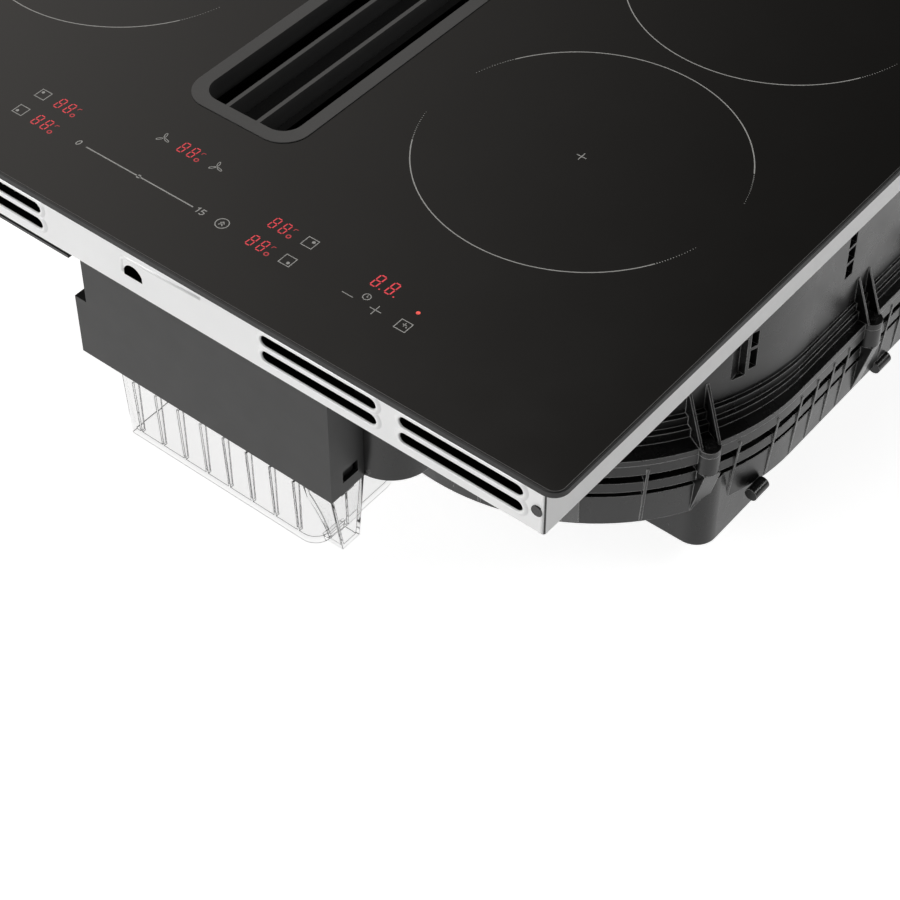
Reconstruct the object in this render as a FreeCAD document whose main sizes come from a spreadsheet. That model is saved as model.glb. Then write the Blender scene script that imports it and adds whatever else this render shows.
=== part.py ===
"""Downdraft induction cooktop: a glass hob with four coils in a steel tray, an air
intake down its middle, a plenum and blower under it and a clear liquid tank.

Frame: origin in the middle of the worktop cut-out, on the worktop's top face.
+X right, +Y to the back, +Z up, millimetres.
"""
import FreeCAD, Part
import math
import os
import Sketcher

VECTOR = FreeCAD.Vector
UP = VECTOR(0, 0, 1)

# ---------------------------------------------------------------- driving sizes
SIZES = {
    # glass and worktop
    "glass_width": 590, "glass_depth": 520, "glass_thickness": 4, "glass_corner": 9,
    "glass_bevel": 0.7, "seal_thickness": 0.6, "seal_width": 9,
    # steel tray
    "tray_width": 552, "tray_depth": 486, "tray_height": 50, "sheet": 0.8,
    "tray_corner": 1.6, "tray_rim": 9,
    "slot_length": 75, "slot_height": 7, "slot_pitch": 10.8, "slot_top_drop": 28.9,
    "key_hole_width": 13, "key_hole_height": 9, "hem_screw_radius": 2,
    # air intake
    "grille_width": 78.6, "grille_front": 154, "grille_rear": 176, "grille_corner": 17,
    "grille_rim": 8.2, "grille_lip": 0.5, "grille_overlap": 3, "grille_clearance": 0.6,
    "grille_skirt": 13, "bar_width": 2.6, "bar_depth": 12, "bar_spread": 10.9,
    "shaft_wall": 2, "shaft_rim": 7, "shaft_rim_thickness": 1.6, "shaft_drop": 60,
    "ledge_width": 6, "ledge_drop": 46, "ledge_thickness": 2,
    "filter_height": 30, "filter_clearance": 0.8, "filter_wall": 1.2, "filter_lip": 5,
    "baffle_width": 13, "baffle_pitch": 17, "baffle_height": 8, "baffle_sheet": 0.8,
    # coils
    "coil_side": 161, "coil_front": 62, "coil_back": 128, "coil_radius": 84,
    "winding_radius": 78, "winding_eye": 19, "winding_height": 3.6, "winding_turns": 12,
    "mica_thickness": 0.5, "mica_gap": 0.4, "carrier_thickness": 3, "carrier_spokes": 8,
    "ferrite_width": 14, "ferrite_length": 48, "ferrite_thickness": 5,
    "coil_plate_thickness": 1.5, "sensor_radius": 6,
    # electronics
    "board_thickness": 1.6, "standoff": 5, "board_width": 176, "board_length": 226,
    "board_side": 167, "board_centre": -68, "heat_sink_width": 34,
    "heat_sink_height": 20, "heat_sink_fins": 6, "fin_thickness": 1.5,
    "fan_size": 80, "fan_height": 24, "fan_wall": 2, "fan_back": 172, "fan_side": 120,
    "fan_gap": 1, "fan_hub_radius": 16, "fan_shaft_radius": 2, "shaft_fit": 0.05,
    "touch_width": 320, "touch_depth": 46, "touch_centre": -208, "touch_gap": 0.6,
    "light_frame_height": 4, "terminal_width": 62, "terminal_depth": 26,
    "terminal_height": 22, "gland_radius": 9, "gland_bore": 5.5,
    # plenum and blower shells
    "plenum_left": 43, "plenum_right": 157, "plenum_front": 209, "plenum_rear": 197,
    "plenum_top": 50.2, "seal_margin": 4.5, "plenum_floor": 133, "plenum_corner": 26, "shell_wall": 2.5,
    "scroll_side": 262.8, "scroll_radius": 151.7, "scroll_centre": 19.5, "scroll_left": 8,
    "band_out": 9.4, "band_tighter": 6.9, "band_forward": 20, "band_left": 5,
    "base_in": 3.7, "base_tighter": 0.4, "base_back": 6.5, "groove_inset": 1.5,
    "tongue_side": 50, "scroll_rear": 200,
    "step_1": 135, "step_2": 140.7, "step_3": 147, "flange_seam": 151, "band_base": 158.5,
    "rim_top": 167.5, "rim_base": 174.6, "skirt_top": 179.3, "blower_base": 204.5,
    "foot_drop": 27.5, "foot_corner": 13.4, "foot_width": 47.5, "foot_front": 66.6,
    "foot_depth": 55.6, "foot_inset": 8.8, "rib_thickness": 1.6,
    "boss_radius": 6.5, "boss_post": 14, "fin_height": 30, "screw_radius": 2,
    "screw_head_radius": 3.6, "screw_head": 2.4, "screw_length": 16, "clip_radius": 4,
    "cutoff_gap": 9,
    "duct_width": 220, "duct_height": 87, "duct_rear": 243, "duct_wall": 2.5,
    # blower
    "fan_x": 118, "fan_y": -2, "wheel_radius": 96, "wheel_height": 44,
    "wheel_blades": 36, "wheel_sheet": 1.2, "wheel_base": 198.1, "blade_depth": 16, "nozzle_radius": 70,
    "nozzle_wall": 2, "nozzle_depth": 19.1, "motor_radius": 46, "motor_height": 30,
    "motor_gap": 1.5, "motor_shaft_radius": 4, "motor_plate_radius": 62,
    "blower_box_width": 34, "blower_box_depth": 96, "blower_box_height": 46,
    # liquid tank and its housing
    "tank_box_left": 42, "tank_box_right": 133.6, "tank_box_front": 235.4,
    "tank_rim_left": 50.8, "tank_rim_drop": 91, "tank_box_base": 133, "tank_box_wall": 2.2,
    "tank_left": 25.5, "tank_right": 119.5, "tank_front": 233, "tank_back": 160,
    "tank_height": 51, "tank_wall": 2, "tank_floor": 3.5, "tank_corner": 13,
    "tank_left_corner": 3, "tank_draft": 2,
    "tank_seal": 0.8, "tank_rib_pitch": 17, "tank_rib": 1.2, "grip_height": 55,
    "grip_wall": 1.8, "latch_height": 22, "latch_thickness": 2.4, "drain_radius": 8,
    "drain_x": 45, "drain_y": 190,
    # cover under the left side of the tray
    "cover_left": 262, "cover_right": 43.2, "cover_front": 242, "cover_rear": 96,
    "cover_layer": 1.9, "cover_groove": 1.4,
}


class Size:
    """A length that carries both its number and its formula in the sheet."""

    def __init__(self, value, text):
        self.value, self.text = float(value), text

    def _join(self, other, sign, value):
        return Size(value, f"({self.text} {sign} {formula(other)})")

    def __add__(self, other):
        return self._join(other, "+", self.value + number(other))

    def __sub__(self, other):
        return self._join(other, "-", self.value - number(other))

    def __mul__(self, other):
        return self._join(other, "*", self.value * number(other))

    def __truediv__(self, other):
        return self._join(other, "/", self.value / number(other))

    def __radd__(self, other):
        return Size(other + self.value, f"({other} + {self.text})")

    def __rsub__(self, other):
        return Size(other - self.value, f"({other} - {self.text})")

    def __rmul__(self, other):
        return Size(other * self.value, f"({other} * {self.text})")

    def __neg__(self):
        return Size(-self.value, f"(0 - {self.text})")

    def __float__(self):
        return self.value


def number(length):
    return length.value if isinstance(length, Size) else float(length)


def formula(length):
    return length.text if isinstance(length, Size) else str(length)


class SheetSizes:
    """Every driving size by name, read from the sheet."""

    def __init__(self, sheet):
        for name in SIZES:
            setattr(self, name, Size(sheet.get(name), "Sizes." + name))


def make_sheet(doc):
    sheet = doc.addObject("Spreadsheet::Sheet", "Sizes")
    for row, (name, value) in enumerate(SIZES.items(), 1):
        sheet.set(f"A{row}", name)
        sheet.set(f"B{row}", str(value))
        sheet.setAlias(f"B{row}", name)
    doc.recompute()
    return sheet


doc = FreeCAD.newDocument("downdraft_hob")
S = SheetSizes(make_sheet(doc))
sub_parts = []


# ---------------------------------------------------------------- building blocks
def sub_part(obj, label):
    """Mark an object as one of the pieces that is written to its own file."""
    obj.Label = label
    sub_parts.append(obj)
    return obj


def block(name, x, y, z):
    """A box between two corners; x, y and z are (low, high) pairs."""
    obj = doc.addObject("Part::Box", name)
    for prop, axis, (low, high) in zip(("Length", "Width", "Height"), "xyz", (x, y, z)):
        obj.setExpression(prop, formula(high - low if isinstance(high, Size) else -(low - high)))
        obj.setExpression(f".Placement.Base.{axis}", formula(low))
    return obj


def rod(name, x, y, z, radius, axis="z"):
    """A round bar along one axis, whose own coordinate is a (low, high) pair."""
    obj = doc.addObject("Part::Cylinder", name)
    turn = {"x": (VECTOR(0, 1, 0), 90), "y": (VECTOR(1, 0, 0), -90), "z": (UP, 0)}[axis]
    obj.Placement = FreeCAD.Placement(VECTOR(), FreeCAD.Rotation(*turn))
    obj.setExpression("Radius", formula(radius))
    for letter, place in zip("xyz", (x, y, z)):
        if letter == axis:
            low, high = place
            obj.setExpression("Height", formula(high - low if isinstance(high, Size) else -(low - high)))
            place = low
        obj.setExpression(f".Placement.Base.{letter}", formula(place))
    return obj


def fuse(name, pieces):
    obj = doc.addObject("Part::MultiFuse", name)
    obj.Shapes = pieces
    return obj


def cut(name, base, tools):
    obj = doc.addObject("Part::Cut", name)
    obj.Base = base
    obj.Tool = tools[0] if len(tools) == 1 else fuse(name + "_tools", tools)
    return obj


def group(name, pieces):
    """Separate solids of one kind, kept in one piece's file."""
    obj = doc.addObject("Part::Compound", name)
    obj.Links = pieces
    return obj


def coded(name, shape):
    """A shape that has no feature of its own kind."""
    obj = doc.addObject("Part::Feature", name)
    obj.Shape = shape
    return obj


def new_body(name, x=0, y=0, z=0):
    body = doc.addObject("PartDesign::Body", name)
    for axis, place in zip("xyz", (x, y, z)):
        body.setExpression(f".Placement.Base.{axis}", formula(place))
    return body


def origin_plane(body, role="XY_Plane"):
    return next(item for item in body.Origin.OriginFeatures if item.Role == role)


def rounded_sketch(body, name, left, right, front, rear, corner):
    """A rectangle with round corners; its four sides are distances from the origin."""
    sketch = body.newObject("Sketcher::SketchObject", name)
    sketch.AttachmentSupport = [(origin_plane(body), "")]
    sketch.MapMode = "FlatFace"
    x0, x1, y0, y1, r = (-number(left), number(right), -number(front), number(rear), number(corner))
    ends = [((x0 + r, y0), (x1 - r, y0)), ((x1, y0 + r), (x1, y1 - r)),
            ((x1 - r, y1), (x0 + r, y1)), ((x0, y1 - r), (x0, y0 + r))]
    hubs = [(x1 - r, y0 + r), (x1 - r, y1 - r), (x0 + r, y1 - r), (x0 + r, y0 + r)]
    for side, ((ax, ay), (bx, by)) in enumerate(ends):
        sketch.addGeometry(Part.LineSegment(VECTOR(ax, ay, 0), VECTOR(bx, by, 0)), False)
        circle = Part.Circle(VECTOR(*hubs[side], 0), UP, r)
        start = math.radians(90 * side - 90)
        sketch.addGeometry(Part.ArcOfCircle(circle, start, start + math.pi / 2), False)
    for side in range(4):
        sketch.addConstraint(Sketcher.Constraint("Tangent", 2 * side, 2, 2 * side + 1, 1))
        sketch.addConstraint(Sketcher.Constraint("Tangent", 2 * side + 1, 2, (2 * side + 2) % 8, 1))
        sketch.addConstraint(Sketcher.Constraint("Vertical" if side % 2 else "Horizontal", 2 * side))
        if side:
            sketch.addConstraint(Sketcher.Constraint("Equal", 1, 2 * side + 1))
    bindings = [("Radius", (1,), corner), ("DistanceX", (6, 1, -1, 1), left),
                ("DistanceX", (-1, 1, 2, 1), right), ("DistanceY", (0, 1, -1, 1), front),
                ("DistanceY", (-1, 1, 4, 1), rear)]
    for kind, places, length in bindings:
        index = sketch.addConstraint(Sketcher.Constraint(kind, *places, number(length)))
        sketch.setExpression(f"Constraints[{index}]", formula(length))
    return sketch


def pad(body, sketch, length):
    feature = body.newObject("PartDesign::Pad", sketch.Name + "_pad")
    feature.Profile = sketch
    feature.setExpression("Length", formula(length))
    sketch.Visibility = False
    return feature


def pocket_through(body, sketch):
    """Cut a sketch on the body's base plane up through the whole body."""
    feature = body.newObject("PartDesign::Pocket", sketch.Name + "_pocket")
    feature.Profile = sketch
    feature.Type = 1
    feature.Reversed = True
    sketch.Visibility = False
    return feature


def rounded_plate(name, x, y, z, corner, holes=()):
    """A plate or ring with round corners, centred on (x, y); holes are cut through.

    x, y: (centre, half size) pairs; z: (low, high); a hole is (half x, half y, corner).
    """
    body = new_body(name, x[0], y[0], z[0])
    pad(body, rounded_sketch(body, name + "_outline", x[1], x[1], y[1], y[1], corner), z[1] - z[0])
    for index, (half_x, half_y, radius) in enumerate(holes):
        sketch = rounded_sketch(body, f"{name}_hole{index}", half_x, half_x, half_y, half_y, radius)
        pocket_through(body, sketch)
    return body


# ---------------------------------------------------------------- shared places
GLASS_BASE = S.seal_thickness
GLASS_TOP = S.seal_thickness + S.glass_thickness
TRAY_BASE = S.seal_thickness - S.tray_height
TRAY_FLOOR = TRAY_BASE + S.sheet
TRAY_SIDE = S.tray_width / 2
TRAY_FRONT = S.tray_depth / 2

INTAKE_Y = (S.grille_rear - S.grille_front) / 2
INTAKE_HALF = (S.grille_rear + S.grille_front) / 2
OPENING_X = S.grille_width / 2 - S.grille_overlap
OPENING_Y = INTAKE_HALF - S.grille_overlap
OPENING_CORNER = S.grille_corner - S.grille_overlap
SHAFT_X = OPENING_X + S.shaft_wall
SHAFT_Y = OPENING_Y + S.shaft_wall
SHAFT_CORNER = OPENING_CORNER + S.shaft_wall

MICA_BASE = GLASS_BASE - S.mica_gap - S.mica_thickness
WINDING_BASE = MICA_BASE - S.winding_height
CARRIER_BASE = WINDING_BASE - S.carrier_thickness
FERRITE_BASE = CARRIER_BASE - S.ferrite_thickness
COIL_PLATE_BASE = FERRITE_BASE - S.coil_plate_thickness
BOARD_BASE = TRAY_FLOOR + S.standoff
BOARD_TOP = BOARD_BASE + S.board_thickness
COIL_PLACES = {
    "front_left": (-S.coil_side, -S.coil_front), "front_right": (S.coil_side, -S.coil_front),
    "back_left": (-S.coil_side, S.coil_back), "back_right": (S.coil_side, S.coil_back),
}


# ---------------------------------------------------------------- glass and worktop
def glass_top():
    body = new_body("glass_top", 0, 0, GLASS_BASE)
    half_x, half_y = S.glass_width / 2, S.glass_depth / 2
    outline = rounded_sketch(body, "glass_outline", half_x, half_x, half_y, half_y, S.glass_corner)
    pad(body, outline, S.glass_thickness)
    opening = rounded_sketch(body, "glass_opening", OPENING_X, OPENING_X, OPENING_Y - INTAKE_Y,
                             OPENING_Y + INTAKE_Y, OPENING_CORNER)
    hole = pocket_through(body, opening)
    doc.recompute()
    top = number(S.glass_thickness)
    reach = number(half_x) - number(S.glass_corner) - 1
    edges = [f"Edge{i + 1}" for i, edge in enumerate(hole.Shape.Edges)
             if all(abs(v.Point.z - top) < 0.001 for v in edge.Vertexes)
             and max(abs(v.Point.x) for v in edge.Vertexes) > reach]
    bevel = body.newObject("PartDesign::Chamfer", "glass_bevel_edge")
    bevel.Base = (hole, edges)
    bevel.setExpression("Size", formula(S.glass_bevel))
    return sub_part(body, "glass_top")


def worktop_seal():
    inset = 1.5
    half_x, half_y = S.glass_width / 2 - inset, S.glass_depth / 2 - inset
    ring = rounded_plate("worktop_seal", (0, half_x), (0, half_y), (0, S.seal_thickness),
                         S.glass_corner, [(half_x - S.seal_width, half_y - S.seal_width, S.glass_corner - 4)])
    return sub_part(ring, "worktop_seal")


# ---------------------------------------------------------------- air intake
def intake_grille():
    """The lift-out ring with its two long bars; its skirt drops into the glass."""
    lip_top = GLASS_TOP + S.grille_lip
    inner_x, inner_y = S.grille_width / 2 - S.grille_rim, INTAKE_HALF - S.grille_rim
    inner_corner = S.grille_corner - S.grille_rim + 3
    flange = rounded_plate("grille_flange", (0, S.grille_width / 2), (INTAKE_Y, INTAKE_HALF),
                           (GLASS_TOP, lip_top), S.grille_corner, [(inner_x, inner_y, inner_corner)])
    skirt = rounded_plate("grille_skirt_ring", (0, OPENING_X - S.grille_clearance),
                          (INTAKE_Y, OPENING_Y - S.grille_clearance),
                          (lip_top - S.grille_skirt, lip_top), OPENING_CORNER - S.grille_clearance,
                          [(inner_x, inner_y, inner_corner)])
    pieces = [flange, skirt]
    for side, name in ((-1, "left"), (1, "right")):
        middle = side * S.bar_spread
        pieces.append(block(f"grille_bar_{name}", (middle - S.bar_width / 2, middle + S.bar_width / 2),
                            (INTAKE_Y - inner_y - 1, INTAKE_Y + inner_y + 1), (lip_top - S.bar_depth, lip_top)))
    return sub_part(fuse("intake_grille", pieces), "intake_grille")


def intake_shaft():
    """The duct from the glass down through the tray, with a ledge for the filter."""
    rim = rounded_plate("shaft_rim_plate", (0, SHAFT_X + S.shaft_rim), (INTAKE_Y, SHAFT_Y + S.shaft_rim),
                        (GLASS_BASE - S.shaft_rim_thickness, GLASS_BASE), SHAFT_CORNER,
                        [(OPENING_X, OPENING_Y, OPENING_CORNER)])
    tube = rounded_plate("shaft_tube", (0, SHAFT_X), (INTAKE_Y, SHAFT_Y), (-S.shaft_drop, GLASS_BASE),
                         SHAFT_CORNER, [(OPENING_X, OPENING_Y, OPENING_CORNER)])
    ledge = rounded_plate("shaft_ledge", (0, SHAFT_X), (INTAKE_Y, SHAFT_Y),
                          (-S.ledge_drop - S.ledge_thickness, -S.ledge_drop), SHAFT_CORNER,
                          [(OPENING_X - S.ledge_width, OPENING_Y - S.ledge_width, OPENING_CORNER - 4)])
    return sub_part(fuse("intake_shaft", [rim, tube, ledge]), "intake_shaft")


def filter_cassette():
    """Grease filter: a sheet frame and two layers of inverted baffles along it."""
    half_x, half_y = OPENING_X - S.filter_clearance, OPENING_Y - S.filter_clearance
    corner = OPENING_CORNER - S.filter_clearance
    base, top = -S.ledge_drop, S.filter_height - S.ledge_drop
    wall = rounded_plate("filter_wall_ring", (0, half_x), (INTAKE_Y, half_y), (base, top), corner,
                         [(half_x - S.filter_wall, half_y - S.filter_wall, corner - S.filter_wall)])
    lips = [rounded_plate(f"filter_lip_{name}", (0, half_x), (INTAKE_Y, half_y), (low, low + S.filter_wall),
                          corner, [(half_x - S.filter_lip, half_y - S.filter_lip, corner - S.filter_lip)])
            for name, low in (("base", base), ("top", top - S.filter_wall))]
    sub_part(fuse("filter_frame", [wall] + lips), "filter_frame")

    baffles = []
    reach = half_y - S.filter_wall - 8
    layers = [("upper", top - S.filter_wall - S.baffle_height - 2, (-1, 0, 1), 1),
              ("lower", base + S.filter_wall + 2, (-0.5, 0.5), -1)]
    for layer, low, columns, side in layers:
        for index, column in enumerate(columns):
            middle = column * S.baffle_pitch
            outer = block(f"baffle_{layer}_{index}", (middle - S.baffle_width / 2, middle + S.baffle_width / 2),
                          (INTAKE_Y - reach, INTAKE_Y + reach), (low, low + S.baffle_height))
            lift = -S.baffle_sheet if side > 0 else S.baffle_sheet
            inner = block(f"baffle_{layer}_{index}_hollow",
                          (middle - S.baffle_width / 2 + S.baffle_sheet,
                           middle + S.baffle_width / 2 - S.baffle_sheet),
                          (INTAKE_Y - reach - 1, INTAKE_Y + reach + 1), (low + lift, low + S.baffle_height + lift))
            baffles.append(cut(f"baffle_{layer}_{index}_channel", outer, [inner]))
    for index, side in enumerate((-1, 1)):
        place = INTAKE_Y + side * (reach - 14)
        width = half_x - S.filter_wall
        for layer, low in (("upper", layers[0][1] + S.baffle_height), ("lower", layers[1][1] - 1.2)):
            baffles.append(block(f"baffle_tie_{layer}_{index}", (-width, width), (place - 4, place + 4),
                                 (low, low + 1.2)))
    columns = [block(f"baffle_post_{index}", (side * 13.2 - 2, side * 13.2 + 2),
                     (INTAKE_Y + end * (reach - 14) - 2, INTAKE_Y + end * (reach - 14) + 2),
                     (layers[1][1] - 1.2, layers[0][1] + S.baffle_height + 1.2))
               for index, (side, end) in enumerate(((-1, -1), (1, -1), (-1, 1), (1, 1)))]
    sub_part(fuse("filter_baffles", baffles + columns), "filter_baffles")


# ---------------------------------------------------------------- steel tray
def tray_casing():
    """Folded sheet tray, with air slots, a keyhole and hem screw holes in its front."""
    outer = rounded_plate("tray_outer", (0, TRAY_SIDE), (0, TRAY_FRONT), (TRAY_BASE, GLASS_BASE), S.tray_corner)
    hollow = rounded_plate("tray_hollow", (0, TRAY_SIDE - S.sheet), (0, TRAY_FRONT - S.sheet),
                           (TRAY_FLOOR, GLASS_BASE - S.sheet), S.tray_corner - S.sheet)
    mouth = rounded_plate("tray_mouth", (0, TRAY_SIDE - S.tray_rim), (0, TRAY_FRONT - S.tray_rim),
                          (GLASS_BASE - S.sheet - 1, GLASS_BASE + 1), S.tray_corner)
    clearance = 0.4
    shaft_hole = rounded_plate("tray_shaft_hole", (0, SHAFT_X + clearance), (INTAKE_Y, SHAFT_Y + clearance),
                               (TRAY_BASE - 1, TRAY_FLOOR + 1), SHAFT_CORNER)
    tools = [hollow, mouth, shaft_hole]
    wall = (-TRAY_FRONT - 2, -TRAY_FRONT + 2)
    for group_index, left in enumerate((98.5, 188.3, -133.5, -223.3)):
        for row in range(2):
            top = GLASS_TOP - S.slot_top_drop - row * S.slot_pitch
            middle = top - S.slot_height / 2
            radius = S.slot_height / 2
            name = f"slot_{group_index}_{row}"
            tools.append(block(name, (left + radius, left + S.slot_length - radius), wall,
                               (top - S.slot_height, top)))
            tools.append(rod(name + "_left", left + radius, wall, middle, radius, "y"))
            tools.append(rod(name + "_right", left + S.slot_length - radius, wall, middle, radius, "y"))
    key_left, key_base = 1.7, GLASS_TOP - 44
    key = block("keyhole_low", (key_left, key_left + S.key_hole_width), wall, (key_base, key_base + 4))
    arch = rod("keyhole_arch", key_left + S.key_hole_width / 2, wall, key_base + 2,
               S.key_hole_width / 2, "y")
    clip = block("keyhole_clip", (key_left - 9, key_left + S.key_hole_width + 9), wall,
                 (key_base, key_base + S.key_hole_height))
    common = doc.addObject("Part::Common", "keyhole_arch_half")
    common.Base, common.Tool = arch, clip
    tools += [key, common]
    for index, (side, end) in enumerate(((1, -1), (-1, -1), (1, 1), (-1, 1))):
        y = end * TRAY_FRONT
        tools.append(rod(f"hem_hole_{index}", side * (TRAY_SIDE - 4.3), (y - 3, y + 3), GLASS_TOP - 39.2,
                         S.hem_screw_radius, "y"))
    for name, side in (("left", -1), ("right", 1)):
        for row in range(5):
            y = S.fan_back + (row - 2) * 13
            middle = side * S.fan_side
            tools.append(block(f"fan_inlet_{name}_{row}", (middle - 26, middle + 26), (y - 3.5, y + 3.5),
                               (TRAY_BASE - 1, TRAY_FLOOR + 1)))
    gland_x = -TRAY_SIDE + 60
    tools.append(rod("gland_hole", gland_x, (TRAY_FRONT - 2, TRAY_FRONT + 2), TRAY_FLOOR + 14,
                     S.gland_radius, "y"))
    return sub_part(cut("tray_casing", outer, tools), "tray_casing")


def hem_screws():
    """Four small screws that close the tray's folded corners."""
    screws = []
    for index, (side, end) in enumerate(((1, -1), (-1, -1), (1, 1), (-1, 1))):
        x, z = side * (TRAY_SIDE - 4.3), GLASS_TOP - 39.2
        face = end * TRAY_FRONT
        fit = S.hem_screw_radius - 0.05
        if end < 0:
            head, shank = (face - 0.9, face), (face, face + 4)
        else:
            head, shank = (face, face + 0.9), (face - 4, face)
        screws.append(fuse(f"hem_screw_{index}", [
            rod(f"hem_screw_{index}_head", x, head, z, S.hem_screw_radius + 1.2, "y"),
            rod(f"hem_screw_{index}_shank", x, shank, z, fit, "y")]))
    return sub_part(group("hem_screws", screws), "hem_screws")


# ---------------------------------------------------------------- coils
def ring_shape(outer, inner, low, high, centre):
    """A flat washer as a plain shape."""
    base = VECTOR(number(centre[0]), number(centre[1]), low)
    disc = Part.makeCylinder(outer, high - low, base)
    return disc.cut(Part.makeCylinder(inner, high - low, base))


def coil_set(place, centre):
    """One cooking zone: grooved winding, spoked carrier, ferrites and a sensor."""
    x, y = number(centre[0]), number(centre[1])
    low, high = number(WINDING_BASE), number(MICA_BASE)
    turns = int(number(S.winding_turns))
    eye, reach = number(S.winding_eye), number(S.winding_radius)
    winding = ring_shape(reach, eye, low, high, centre)
    pitch = (reach - eye) / turns
    for turn in range(1, turns):
        radius = eye + turn * pitch
        winding = winding.cut(ring_shape(radius + 0.5, radius - 0.5, high - 1.2, high, centre))
    sub_part(coded(f"coil_winding_{place}", winding), f"coil_winding_{place}")

    base, top = number(CARRIER_BASE), number(WINDING_BASE)
    disc = number(S.coil_radius)
    carrier = ring_shape(disc, disc - 8, base, top, centre)
    carrier = carrier.fuse(ring_shape(eye + 8, eye - 4, base, top, centre))
    carrier = carrier.fuse(ring_shape(disc, reach + 1, top, high, centre))
    spokes = int(number(S.carrier_spokes))
    for spoke in range(spokes):
        arm = Part.makeBox(disc - eye - 4, 16, top - base, VECTOR(eye, -8, base))
        arm.rotate(VECTOR(), UP, 360 * spoke / spokes)
        arm.translate(VECTOR(x, y, 0))
        carrier = carrier.fuse(arm)
    sub_part(coded(f"coil_carrier_{place}", carrier.removeSplitter()), f"coil_carrier_{place}")

    bars = []
    low = number(FERRITE_BASE)
    width, length = number(S.ferrite_width), number(S.ferrite_length)
    for spoke in range(spokes):
        bar = Part.makeBox(length, width, base - low, VECTOR(eye + 6, -width / 2, low))
        bar.rotate(VECTOR(), UP, 360 * spoke / spokes)
        bar.translate(VECTOR(x, y, 0))
        bars.append(bar)
    sub_part(coded(f"ferrite_bars_{place}", Part.makeCompound(bars)), f"ferrite_bars_{place}")


def coil_supports():
    """Mica sheets over the coils, the plates under them and the sensors between."""
    for name, side in (("left", -1), ("right", 1)):
        middle_y = (S.coil_back - S.coil_front) / 2
        half_y = (S.coil_back + S.coil_front) / 2 + S.coil_radius
        mica = rounded_plate(f"mica_sheet_{name}", (side * S.coil_side, S.coil_radius), (middle_y, half_y),
                             (MICA_BASE, MICA_BASE + S.mica_thickness), S.coil_radius - 30)
        sub_part(mica, f"mica_sheet_{name}")
        plate = rounded_plate(f"coil_plate_sheet_{name}", (side * S.coil_side, S.coil_radius + 6),
                              (middle_y, half_y + 4), (COIL_PLATE_BASE, FERRITE_BASE), 10 * S.sheet)
        windows = [rod(f"coil_plate_{name}_hole_{index}", side * S.coil_side, y,
                       (COIL_PLATE_BASE - 1, FERRITE_BASE + 1), S.winding_eye)
                   for index, y in enumerate((-S.coil_front, S.coil_back))]
        sub_part(cut(f"coil_plate_{name}", plate, windows), f"coil_plate_{name}")
    sensors = [rod(f"sensor_{place}", centre[0], centre[1], (WINDING_BASE, MICA_BASE), S.sensor_radius)
               for place, centre in COIL_PLACES.items()]
    return sub_part(group("temperature_sensors", sensors), "temperature_sensors")


# ---------------------------------------------------------------- electronics
def power_electronics(name, side):
    """One inverter board, its finned heat sink and its tall components."""
    x, y = side * S.board_side, S.board_centre
    half_x, half_y = S.board_width / 2, S.board_length / 2
    board = block(f"power_board_{name}_plate", (x - half_x, x + half_x), (y - half_y, y + half_y),
                  (BOARD_BASE, BOARD_TOP))
    legs = [rod(f"board_leg_{name}_{index}", x + dx * (half_x - 6), y + dy * (half_y - 6),
                (TRAY_FLOOR, BOARD_BASE), 3 * S.sheet)
            for index, (dx, dy) in enumerate(((1, 1), (1, -1), (-1, 1), (-1, -1)))]
    sub_part(fuse(f"power_board_{name}", [board] + legs), f"power_board_{name}")

    sink_x = side * (S.board_side - 40)
    half = S.heat_sink_width / 2
    top = BOARD_TOP + S.heat_sink_height
    solid = block(f"heat_sink_{name}_solid", (sink_x - half, sink_x + half), (y - half_y + 12, y + half_y - 12),
                  (BOARD_TOP, top))
    fins = int(number(S.heat_sink_fins))
    pitch = (S.heat_sink_width - S.fin_thickness) / fins
    grooves = []
    for index in range(fins):
        left = sink_x - half + S.fin_thickness + index * pitch
        grooves.append(block(f"heat_sink_{name}_groove_{index}", (left, left + pitch - S.fin_thickness),
                             (y - half_y, y + half_y), (BOARD_TOP + 4, top + 1)))
    sub_part(cut(f"heat_sink_{name}", solid, grooves), f"heat_sink_{name}")

    can_x = side * (S.board_side + 30)
    cans = [rod(f"capacitor_{name}_{index}", can_x, y - 60 + 34 * index, (BOARD_TOP, BOARD_TOP + 19), 13)
            for index in range(3)]
    cans.append(block(f"inductor_{name}", (can_x - 16, can_x + 16), (y + 52, y + 84), (BOARD_TOP, BOARD_TOP + 17)))
    cans.append(block(f"film_capacitor_{name}", (can_x - 30, can_x - 18), (y - 40, y - 8),
                      (BOARD_TOP, BOARD_TOP + 20)))
    sub_part(group(f"board_parts_{name}", cans), f"board_parts_{name}")


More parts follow.
